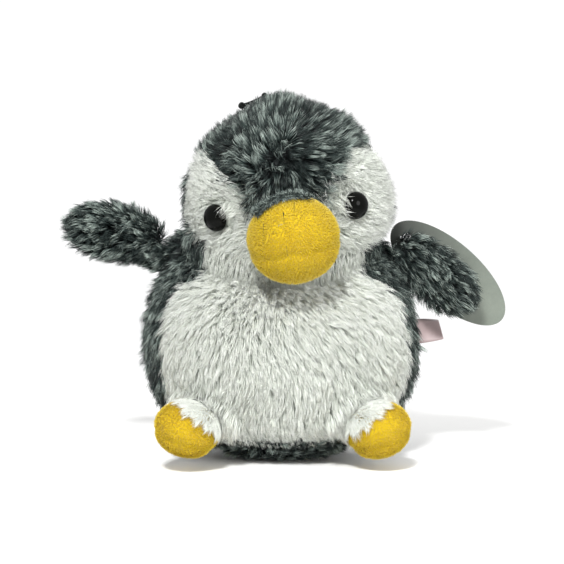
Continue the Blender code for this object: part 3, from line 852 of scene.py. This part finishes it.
STYLES = {
    "belly": coat_style(8.8, 0.27, 2.6, 9, (52, 10), mess=0.22, clump_lean=0.20, gather=0.34,
                        droop=0.12, tone_spread=0.35),
    "face": coat_style(7.4, 0.25, 2.2, 7, (56, 14), mess=0.32, clump_lean=0.20, gather=0.34,
                       tone_spread=0.35, drift=0.50),
    "head": coat_style(8.4, 0.27, 2.4, 7, (60, 18), gather=0.55, droop=0.05, drift=0.50),
    "body": coat_style(9.4, 0.29, 3.0, 9, (56, 18), mess=0.28, clump_lean=0.30, gather=0.6,
                       droop=0.15, drift=0.35),
    "flipper": coat_style(7.4, 0.27, 2.3, 7, (50, 14), gather=0.5),
    "base": coat_style(7.0, 0.32, 2.6, 8, (35, 5), segments=2, mess=0.35, clump_lean=0.35, gather=0.6,
                       droop=0.0),
    "velour": coat_style(1.5, 0.22, 1.2, 5, (75, 50), segments=2, mess=0.30, clump_lean=0.2,
                         gather=0.2, droop=0.0, tone_spread=0.7),
}


# ---------- torso

HALF_BELLY = 0.055          # the combs turn outward over this width
HEM_LENGTH = 1.35           # longer and more raised pile hangs over the feet
HEM_RAISE = radians(22)


def comb_falling(offset, spread):
    """A comb that runs down, and outward with the distance from the middle."""
    def comb(place, normal):
        way = np.zeros_like(place)
        way[:, 2] = -1.0
        way[:, 0] = offset + place[:, 0] / HALF_BELLY * spread
        return along_surface(way, normal)
    return comb


comb_belly = comb_falling(0.18, 0.55)
comb_down = comb_falling(0.0, 0.15)


def comb_outward(place, normal):
    way = place.copy()
    way[:, 2] = -0.01
    return along_surface(way, normal)


def over_neck(place):
    """Heights over the middle of the neck, along it."""
    return (place - np.array(NECK)) @ np.array(NECK_UP)


def in_halves(place, centre, half):
    """Distances from a centre, in units of the half-sizes around it."""
    return np.linalg.norm((place - np.array(centre)) / np.array(half), axis=1)


def make_torso(looks):
    centre, _ = span(*TORSO_NODES)
    surface = Surface(TORSO_NODES, centre)
    skin, owners = wrapped("torso_skin", TORSO_NODES, centre, PILE_DEPTH, 5, ("body_filling",))
    puff(skin, owners, 5.0, 0.8 * MM)
    settle(skin, 0.4 * MM)
    colour_by_owner(skin, owners, knits(TORSO_NODES, looks))
    hold(skin, "torso", "charcoal_fur", "base_panel")
    rng = draws("torso")
    roots = scatter(skin, 4.2, rng)
    owner = roots.owners(surface)
    near = [obstacle(BEAK_NODES, 0.8 * MM)] + [obstacle(foot_nodes(side), 1.2 * MM) for side in SIDES]
    scale, raised = belly_cut(roots.place)
    others = owner != "belly_panel"
    scale[others], raised[others] = 1.0, 0.0
    coats = (
        ("belly_panel", "belly_fur", "belly", comb_belly, "white", near),
        ("side_panel_left", "side_fur_left", "body", comb_down, "charcoal", ()),
        ("side_panel_right", "side_fur_right", "body", comb_down, "charcoal", ()),
        ("back_panel", "back_fur", "body", comb_down, "charcoal", ()),
        ("base_panel", "base_fur", "base", comb_outward, "charcoal", ()),
    )
    clear = over_neck(roots.place) < -0.5 * MM
    grow_panels(coats, roots, owner, clear, scale, raised, looks, "torso", rng)


def belly_cut(place):
    """Lengths and lifts of the belly's pile: short above the base, long where it covers the feet."""
    scale = np.clip((place[:, 2] - 5.0 * MM) / (16 * MM), 0.45, 1.0)
    raised = np.zeros(len(place))
    for side in SIDES:
        centre, half = span(f"foot_{side}_upper")
        over = (place[:, 2] > centre.z + 1 * MM) & (in_halves(place, centre, half) < 1.7)
        scale[over] = HEM_LENGTH
        raised[over] = HEM_RAISE
    return scale, raised


def settle(skin, height):
    """Keeps a skin's underside flat on the floor."""
    for vert in skin.data.vertices:
        vert.co.z = max(vert.co.z, height)


# ---------- head

EYE_CLEAR = 5.6 * MM        # no strand of the coats stands nearer to the front of an eye
FRINGE_RAISE = radians(26)
FORWARD = Vector((0, -1, 0))
LASHES = {"right": (radians(15), radians(85)), "left": (radians(110), radians(215))}
LASH_COUNT = 40


def whorl_point():
    """Where the pile on the crown parts: on the forehead, above the beak."""
    centre, half = span("head_gusset")
    return Vector((centre.x - 0.4 * MM, centre.y - half.y * 0.86, centre.z + half.z * 0.24))


def comb_from(spot, down):
    """A comb that runs away from a point, with some fall."""
    spot = np.array(spot)

    def comb(place, normal):
        way = unit(place - spot)
        way[:, 2] -= down
        return along_surface(way, normal)
    return comb


def eye_front(side):
    """The foremost point of an eye's dome."""
    eye, _ = span(f"eye_{side}")
    dome = Surface((f"eye_{side}",), eye)
    return dome.tree.ray_cast(eye + FORWARD * 0.05, -FORWARD)[0]


def make_head(looks):
    centre, _ = span(*HEAD_NODES)
    surface = Surface(HEAD_NODES, centre)
    skin, owners = wrapped("head_skin", HEAD_NODES, centre, PILE_DEPTH, 5, ("head_filling",))
    puff(skin, owners, 5.0, 0.6 * MM)
    colour_by_owner(skin, owners, knits(HEAD_NODES, looks))
    hold(skin, "head", "charcoal_fur")
    rng = draws("head")
    roots = scatter(skin, 4.6, rng)
    owner = roots.owners(surface)
    beak, beak_half = span(*BEAK_NODES)
    clear = in_halves(roots.place, beak, beak_half - Vector((1, 1, 1)) * MM) > 1
    clear &= over_neck(roots.place) > 0.5 * MM
    scale = np.ones(len(roots.place))
    near = [obstacle(BEAK_NODES, 0.9 * MM)]
    for side in SIDES:
        gap = np.linalg.norm(roots.place - np.array(eye_front(side)), axis=1)
        clear &= gap > EYE_CLEAR
        scale = np.minimum(scale, np.clip((gap - 3.8 * MM) / (7.0 * MM), 0.40, 1.0))
        near.append(obstacle((f"eye_{side}",), 0.35 * MM))
    fringe = (in_halves(roots.place, beak, beak_half) < 1.30) & (roots.place[:, 2] > beak.z)
    raised = np.where(fringe, FRINGE_RAISE, 0.0)
    whorl = comb_from(whorl_point() + Vector((0, 8 * MM, 0)), 0.0)
    face = comb_from(beak + Vector((0, 0.01, 0.004)), 0.25)
    coats = (
        ("head_gusset", "crown_fur", "head", whorl, "charcoal", near),
        ("head_back_left", "head_back_fur_left", "head", whorl, "charcoal", near),
        ("head_back_right", "head_back_fur_right", "head", whorl, "charcoal", near),
        ("face_panel_left", "face_fur_left", "face", face, "white", near),
        ("face_panel_right", "face_fur_right", "face", face, "white", near),
    )
    grow_panels(coats, roots, owner, clear, scale, raised, looks, "head", rng)


def make_lashes(side, looks):
    """Wisps of the white pile that fall across an eye from one side of it."""
    centre, _ = span(*HEAD_NODES)
    surface = Surface((f"face_panel_{side}",), centre)
    top = eye_front(side)
    rng = draws(f"lashes_{side}")
    low, high = LASHES[side]
    places, normals = [], []
    while len(places) < LASH_COUNT:
        turn = rng.uniform(low, high)
        reach = rng.uniform(5.8, 7.6) * MM
        start = Vector((top.x + reach * cos(turn), top.y - 0.03, top.z + reach * sin(turn)))
        spot, normal, _, _ = surface.tree.ray_cast(start, -FORWARD)
        if spot is not None:
            places.append(spot - normal * 1.2 * MM)
            normals.append(normal)
    roots = Roots(np.array(places), np.array(normals))
    way = unit(np.array(top) - roots.place) + rng.normal(size=roots.place.shape) * 0.25
    way[:, 2] -= 0.25
    way = along_surface(way, roots.normal)
    style = dict(STYLES["face"], length=8.0 * MM, width=0.24 * MM, gather=0.55, clump=1.6 * MM,
                 lift=(radians(46), 0.0), drift=0.2)
    near = [obstacle((f"eye_{side}",), 0.25 * MM)]
    grow(f"face_wisps_{side}", roots, way, style, "white", looks, "head", rng, near)


# ---------- neck

NECK_RINGS = 8
NECK_TURNS = 72
NECK_RADIUS = 0.0385        # over the pile
NECK_DEPTH = 0.87           # front to back, over the width
NECK_REACH = 7.5 * MM       # up and down from the joint
NECK_CLOTH = 1.0 * MM
NECK_FRONT = radians(62)    # white pile up to this far from the front
NECK_BEND = ("torso", "head", NECK - NECK_UP * 6 * MM, NECK + NECK_UP * 6 * MM)


def neck_point(turn, share, inset):
    """A point of the neck's cloth, share of the way up and inset under its outside."""
    wide = NECK_RADIUS - PILE_DEPTH
    bulge = sin(pi * share) * 0.6 * MM - 0.8 * MM
    across = Vector((1, 0, 0)) * sin(turn) * (wide + bulge - inset)
    back = TILT_AXIS * cos(turn) * (wide * NECK_DEPTH + bulge - inset)
    return NECK + (across - back) + NECK_UP * (2 * NECK_REACH * share - NECK_REACH)


def make_neck(looks):
    """The cloth that joins head and torso, and its pile."""
    bm = bmesh.new()
    loop = [(k / NECK_RINGS, 0.0) for k in range(NECK_RINGS + 1)]
    loop += [(k / NECK_RINGS, NECK_CLOTH) for k in range(NECK_RINGS, -1, -1)]
    rows = [
        [bm.verts.new(neck_point(turn, share, inset)) for share, inset in loop]
        for turn in turns_of(NECK_TURNS)
    ]
    for this, following in zip(rows, rows[1:] + rows[:1]):
        for k in range(len(loop)):
            m = (k + 1) % len(loop)
            bm.faces.new((this[k], following[k], following[m], this[m]))
    bmesh.ops.recalc_face_normals(bm, faces=bm.faces)
    skin = solid(bm, "neck_skin", looks["charcoal_knit"])
    rng = draws("neck")
    roots = scatter(skin, 3.4, rng)
    arm = roots.place - np.array(NECK)
    outward = (roots.normal * unit(arm)).sum(1) > 0.3
    front = np.abs(np.arctan2(arm[:, 0], -(arm @ np.array(TILT_AXIS)))) < NECK_FRONT
    for name, chosen, style, colour in (
        ("neck_fur_front", outward & front, "face", "white"),
        ("neck_fur_back", outward & ~front, "body", "charcoal"),
    ):
        mine = roots.keep(chosen)
        way = comb_down(mine.place, mine.normal)
        grow(name, mine, way, STYLES[style], colour, looks, NECK_BEND, rng)
    hold(skin, NECK_BEND, "charcoal_fur")


# ---------- beak and feet

PANEL_PRESSURE = 4.0        # cloth pressure in the beak, the feet and the flippers
GROOVE_DEPTH = 0.55 * MM
GROOVE_WIDTH = 1.0 * MM


def groove(skin, owners):
    """Draws a skin in along the seam between its two panels."""
    line = [skin.data.vertices[k].co.copy() for k in seam_vertices(skin, owners)]
    tree = KDTree(len(line))
    for index, point in enumerate(line):
        tree.insert(point, index)
    tree.balance()
    for vert in skin.data.vertices:
        gap = tree.find(vert.co)[2]
        vert.co -= vert.normal * GROOVE_DEPTH * float(np.exp(-(gap / GROOVE_WIDTH) ** 2))
    skin.data.update()


def velour_piece(name, names, body, looks, cap, comb):
    """A stuffed piece in short plush: its puffed skin with a sewn seam, and its pile."""
    centre, _ = span(*names)
    skin, owners = wrapped(f"{name}_skin", names, centre, 0.9 * MM, 5)
    puff(skin, owners, PANEL_PRESSURE, cap)
    groove(skin, owners)
    skin.data.materials.append(looks["velour"])
    hold(skin, body, "yellow_plush", *names)
    rng = draws(name)
    roots = scatter(skin, 5.5, rng)
    way = along_surface(np.array(comb) + rng.normal(size=roots.place.shape) * 0.35, roots.normal)
    grow(f"{name}_pile", roots, way, STYLES["velour"], "yellow", looks, body, rng)
    return skin


def make_hem(side, skin, looks):
    """The belly's pile where it hangs over the inner top of a foot."""
    centre, _ = span(*foot_nodes(side))
    over = direction((-SIDES[side] * 0.627, -0.10, 0.78))
    rng = draws(f"hem_{side}")
    roots = scatter(skin, 11.0, rng)
    high = (roots.place - np.array(centre)) @ np.array(over)
    edge = 7.4 * MM + np.sin(roots.place[:, 0] * 2100) * 0.7 * MM
    mine = roots.keep((high > edge) & (roots.place[:, 1] < centre.y + 7 * MM))
    way = np.zeros_like(mine.place) - np.array(over)
    way[:, 0] += mine.place[:, 0] / HALF_BELLY * 0.3
    way = along_surface(way + rng.normal(size=way.shape) * 0.15, mine.normal)
    style = dict(STYLES["belly"], length=5.6 * MM, lift=(radians(20), radians(2)), clump=1.5 * MM,
                 mess=0.24)
    near = [obstacle(foot_nodes(side), 0.5 * MM)]
    grow(f"belly_hem_{side}", mine, way, style, "white", looks, "torso", rng, near)


def make_brow(skin, looks):
    """The crown's pile where it falls over the top of the beak."""
    centre, _ = span(*BEAK_NODES)
    rng = draws("brow")
    roots = scatter(skin, 9.0, rng)
    arm = roots.place - np.array(centre)
    turn = np.arctan2(arm[:, 2], arm[:, 0])
    rim = (roots.normal[:, 1] > -0.30) & (roots.normal[:, 1] < 0.25)
    mine = roots.keep(rim & (turn > radians(72)) & (turn < radians(148)))
    way = np.array(FORWARD) + rng.normal(size=mine.place.shape) * 0.2
    style = dict(STYLES["head"], length=5.0 * MM, lift=(radians(28), radians(6)), clump=1.6 * MM,
                 gather=0.15, droop=0.0, clump_lean=0.1)
    near = [obstacle(BEAK_NODES, 0.6 * MM)]
    way = along_surface(way, mine.normal)
    grow("brow_fur", mine, way, style, "charcoal", looks, "head", rng, near)


# ---------- flippers

SLEEVE_TURNS = 40
SLEEVE_ROWS = 8
SLEEVE_CLOTH = 0.8 * MM
SLEEVE_REACH = 8.0          # mm into the body, and as far along the flipper
SLEEVE_TALL = (10.0, 2.6)   # half-height in mm at the body, and what it loses to the flipper
SLEEVE_THICK = (6.0, 3.2)


def flipper_line(side):
    """A flipper's middle, its joint, and the direction from the joint to the middle."""
    centre, _ = span(*flipper_nodes(side))
    shoulder = Vector(JOINTS[f"flipper_{side}_flap"]["pos_m"])
    return centre, shoulder, (centre - shoulder).normalized()


def make_flipper(side, looks):
    names = flipper_nodes(side)
    body = f"flipper_{side}"
    centre, _, reach = flipper_line(side)
    surface = Surface(names, centre)
    skin, owners = wrapped(f"{body}_skin", names, centre, 1.8 * MM, 4)
    puff(skin, owners, PANEL_PRESSURE, 0.5 * MM)
    skin.data.materials.append(looks["charcoal_knit"])
    hold(skin, body, "charcoal_fur")
    rng = draws(body)
    roots = scatter(skin, 4.6, rng)
    owner = roots.owners(surface)
    for node in names:
        mine = roots.keep(owner == node)
        way = along_surface(np.array(reach), mine.normal)
        name = node.replace(body, f"{body}_fur")
        grow(name, mine, way, STYLES["flipper"], "charcoal", looks, body, rng, node=node)


def make_shoulder(side, looks):
    """The cloth from the body into a flipper's root, and its pile."""
    _, shoulder, reach = flipper_line(side)
    inward = direction((-SIDES[side], 0.05, -0.65))
    swing = Vector(JOINTS[f"flipper_{side}_flap"]["axis"])
    bm = bmesh.new()
    layers = []
    for inset in (0.0, SLEEVE_CLOTH):
        rings = []
        for row in range(SLEEVE_ROWS + 1):
            share = row / SLEEVE_ROWS
            along = inward.lerp(reach, share).normalized()
            spot = shoulder + (inward * (1 - share) * SLEEVE_REACH + reach * share * SLEEVE_REACH) * MM
            tall = (SLEEVE_TALL[0] - SLEEVE_TALL[1] * share) * MM - inset
            thick = (SLEEVE_THICK[0] - SLEEVE_THICK[1] * share) * MM - inset
            up = along.cross(swing).normalized()
            front = along.cross(up).normalized()
            rings.append([
                bm.verts.new(spot + up * tall * cos(t) + front * thick * sin(t))
                for t in turns_of(SLEEVE_TURNS)
            ])
        layers.append(rings)
    order = layers[0] + layers[1][::-1]
    for first, second in zip(order, order[1:] + order[:1]):
        bridge(bm, first, second)
    bmesh.ops.recalc_face_normals(bm, faces=bm.faces)
    skin = solid(bm, f"shoulder_skin_{side}", looks["charcoal_knit"])
    rng = draws(f"shoulder_{side}")
    roots = scatter(skin, 6.0, rng)
    arm = roots.place - np.array(shoulder)
    line = np.array(shoulder) + sum(
        np.clip(arm @ np.array(way), 0, None)[:, None] * np.array(way) for way in (reach, inward)
    )
    mine = roots.keep((roots.normal * unit(roots.place - line)).sum(1) > 0.2)
    way = along_surface(np.array(reach), mine.normal)
    style = dict(STYLES["flipper"], length=6.0 * MM)
    bend = ("torso", f"flipper_{side}", shoulder + inward * 3 * MM, shoulder + reach * 6 * MM)
    grow(f"shoulder_fur_{side}", mine, way, style, "charcoal", looks, bend, rng)
    hold(skin, bend, "charcoal_fur")


# ---------- eyes

EYE_DOME = 0.76             # height of the dome, over the eye's radius
EYE_STEM = 0.34             # radius of the stem, over the eye's radius
EYE_BACK = 0.9              # radius of the flat back, over the eye's radius
EYE_STEPS = 18
EYE_TURNS = 56


def make_eye(side, looks):
    """A glossy domed eye with a fine rim, on its stem."""
    points = read(nodes[f"eye_{side}"].data.vertices, "co")
    middle = points.mean(0)
    _, _, axes = np.linalg.svd(points - middle)
    axis = Vector(axes[0])
    if axis.y > 0:
        axis = -axis
    along = (points - middle) @ np.array(axis)
    across = np.linalg.norm((points - middle) - along[:, None] * np.array(axis), axis=1)
    top, radius = along.max(), across.max()
    height = radius * EYE_DOME
    stem, back = radius * EYE_STEM, top - height - 0.8 * MM
    profile = [(stem, along.min()), (stem, back), (radius * EYE_BACK, back)]
    profile.append((radius, top - height - 0.2 * MM))
    for a in (k * pi / 2 / EYE_STEPS for k in range(EYE_STEPS)):
        profile.append((radius * cos(a), top - height + height * sin(a)))
    bm = bmesh.new()
    turn = Vector((0, 0, 1)).rotation_difference(axis)

    def vertex(x, y, z):
        return bm.verts.new(Vector(middle) + turn @ Vector((x, y, z)))

    rings = [[vertex(r * cos(a), r * sin(a), d) for a in turns_of(EYE_TURNS)] for r, d in profile]
    tip = vertex(0, 0, top)
    for lower, upper in zip(rings, rings[1:]):
        bridge(bm, lower, upper)
    for k in range(EYE_TURNS):
        bm.faces.new((rings[-1][k], rings[-1][(k + 1) % EYE_TURNS], tip))
    bm.faces.new(list(reversed(rings[0])))
    eye = solid(bm, f"glossy_eye_{side}", looks["eye_gloss"], sharp=50)
    hold(eye, "head", "eye_plastic", f"eye_{side}")


# ---------- cord

HEAD_CENTRE = Vector((0.0034, -0.001, 0.1025))
HEAD_HALF_WIDTH = 0.0417
HEAD_HALF_DEPTH = 0.0385
HEAD_RISE = 0.0412
CROWN_POWER = 1.75
HEAD_TILT = radians(-5.5)
CORD_RADIUS = 1.1 * MM
LOOP_HALF_WIDTH = 0.0046
LOOP_LEG = 0.0105
LOOP_STAND = 0.0034
LOOP_X = -0.0095


def crown_point(arc, side, rise):
    """A point above the crown, as the CAD source lays it out, on the tilted head."""
    out = Vector((sin(side), -cos(side) * cos(arc), cos(side) * sin(arc)))
    flat = (abs(out.x) / HEAD_HALF_WIDTH) ** CROWN_POWER + (abs(out.z) / HEAD_RISE) ** CROWN_POWER
    reach = 1 / sqrt(flat ** (2 / CROWN_POWER) + (out.y / HEAD_HALF_DEPTH) ** 2)
    point = HEAD_CENTRE + out * (reach + rise)
    return NECK + Quaternion(TILT_AXIS, HEAD_TILT) @ (point - NECK)


def loop_line():
    """The middle of the cord, from one end over the bend to the other."""
    leg = [(LOOP_HALF_WIDTH, LOOP_LEG * k / 5) for k in range(5)]
    lateral = [(-across, along) for across, along in leg]
    for k in range(9):
        turn = pi - pi * k / 8
        lateral.append((LOOP_HALF_WIDTH * cos(turn), LOOP_LEG + LOOP_HALF_WIDTH * sin(turn)))
    line = []
    for across, along in lateral + leg[::-1]:
        rise = CORD_RADIUS + 0.3 * MM + LOOP_STAND * along / (LOOP_LEG + LOOP_HALF_WIDTH)
        line.append(crown_point(radians(92) + along / HEAD_RISE, asin((LOOP_X + across) / HEAD_RISE), rise))
    return line


def make_loop(looks):
    """The cord loop on the crown, along the middle of its CAD tube."""
    line = loop_line()
    curve = bpy.data.curves.new("cord_loop", "CURVE")
    curve.dimensions = "3D"
    curve.bevel_depth = CORD_RADIUS
    curve.bevel_resolution = 6
    curve.use_fill_caps = True
    spline = curve.splines.new("POLY")
    spline.points.add(len(line) - 1)
    for spot, point in zip(spline.points, line):
        spot.co = (*point, 1.0)
    loop = link(bpy.data.objects.new("cord_loop", curve))
    curve.materials.append(looks["cord"])
    hold(loop, "head", "black_cord", "hanging_loop")


# ---------- inner pieces, tag, label

INNER_LOOKS = {"pellet_pouch": "pouch", "tag_fastener": "nylon"}
TAG_THICKNESS = 0.8 * MM
TAG_BOW = 0.7 * MM
TAG_HOLE_RADIUS = 1.6 * MM
TAG_TURNS = 96
TAG_RINGS = 10
LABEL_WIDTH = 10.0 * MM
LABEL_PLY = 0.22 * MM
LABEL_GAP = 0.5 * MM        # half the gap between the two layers
LABEL_TWIST = radians(42)
LABEL_STEPS = 16
LABEL_FOLD_STEPS = 8
LABEL_ROWS = 8


def make_inner(looks):
    """Materials of the pieces inside, which keep their CAD shapes."""
    for name, node in nodes.items():
        look = INNER_LOOKS.get(name)
        if name.endswith("filling"):
            look = "fibre"
        elif name.startswith("eye_washer"):
            look = "washer"
        if look:
            node.data.materials.clear()
            node.data.materials.append(looks[look])


def make_tag(looks):
    """The hang tag: an oval card, slightly bowed, with a punched hole."""
    arms = read(nodes["hang_tag"].data.vertices, "co")
    hole = Vector(JOINTS["hang_tag_swing"]["pos_m"])
    centre, _ = span("hang_tag")
    arms -= np.array(centre)
    along = direction((centre.x - hole.x, 0, centre.z - hole.z))
    across = Vector((-along.z, 0, along.x))
    half_long = np.abs(arms @ np.array(along)).max()
    half_wide = np.abs(arms @ np.array(across)).max()

    def bowed(spot, side):
        reach = (spot - centre).dot(along) / half_long
        bow = TAG_BOW * (reach * reach - 0.3)
        return spot + Vector((0, bow + side * TAG_THICKNESS / 2, 0))

    bm = bmesh.new()
    layers = []
    for side in (-1, 1):
        grid = []
        for ring in range(TAG_RINGS + 1):
            row = []
            for turn in turns_of(TAG_TURNS):
                edge = centre + along * half_long * cos(turn) + across * half_wide * sin(turn)
                start = hole + along * TAG_HOLE_RADIUS * cos(turn) + across * TAG_HOLE_RADIUS * sin(turn)
                row.append(bm.verts.new(bowed(start.lerp(edge, ring / TAG_RINGS), side)))
            grid.append(row)
        layers.append(grid)
        for inner, outer in zip(grid, grid[1:]):
            bridge(bm, inner, outer)
    for ring in (0, TAG_RINGS):
        bridge(bm, layers[0][ring], layers[1][ring])
    bmesh.ops.recalc_face_normals(bm, faces=bm.faces)
    tag = solid(bm, "tag_card", looks["card"], sharp=40)
    hold(tag, "tag", "tag_card", "hang_tag")


def make_label(looks):
    """The care label: woven tape folded in two, with a soft wave."""
    root = Vector(JOINTS["sewn_label_flex"]["pos_m"])
    low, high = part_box("sewn_label")
    reach = max(high.x - low.x, 0.01)
    out = (low + high) / 2 - root
    out.z = 0
    out.normalize()
    side = Vector((-out.y, out.x, 0))
    line = [(reach * k / LABEL_STEPS, LABEL_GAP) for k in range(LABEL_STEPS + 1)]
    for k in range(1, LABEL_FOLD_STEPS):
        turn = pi * k / LABEL_FOLD_STEPS
        line.append((reach + LABEL_GAP * sin(turn), LABEL_GAP * cos(turn)))
    line += [(reach * (1 - k / LABEL_STEPS), -LABEL_GAP) for k in range(LABEL_STEPS + 1)]
    bm = bmesh.new()
    rows = []
    for a, b in line:
        row = []
        for k in range(LABEL_ROWS + 1):
            up = LABEL_WIDTH * (k / LABEL_ROWS - 0.5)
            twist = LABEL_TWIST * a / reach
            wave = 0.35 * MM * sin(a / reach * pi * 1.3) * cos(up / LABEL_WIDTH * 2.2)
            lean = side * sin(twist) * up + Vector((0, 0, up * cos(twist) + 0.8 * MM * a / reach))
            row.append(bm.verts.new(root + out * a + side * (b + wave) + lean))
        rows.append(row)
    for first, second in zip(rows, rows[1:]):
        for k in range(LABEL_ROWS):
            bm.faces.new((first[k], second[k], second[k + 1], first[k + 1]))
    label = solid(bm, "folded_label", looks["satin"])
    thick = label.modifiers.new("ply", "SOLIDIFY")
    thick.thickness = LABEL_PLY
    thick.offset = 0.0
    hold(label, "label", "label_tape", "sewn_label")


# ---------- all of it

def main():
    looks = make_materials()
    make_camera()
    make_loop(looks)
    make_studio()
    make_inner(looks)
    make_torso(looks)
    make_head(looks)
    make_neck(looks)
    beak = velour_piece("beak", BEAK_NODES, "head", looks, 0.9 * MM, (0.0, 1.0, -0.2))
    make_brow(beak, looks)
    for side in SIDES:
        name = f"foot_{side}"
        foot = velour_piece(name, foot_nodes(side), name, looks, 0.7 * MM, (0.0, -1.0, -0.3))
        make_hem(side, foot, looks)
        make_flipper(side, looks)
        make_eye(side, looks)
        make_lashes(side, looks)
        make_shoulder(side, looks)
    make_tag(looks)
    make_label(looks)


main()
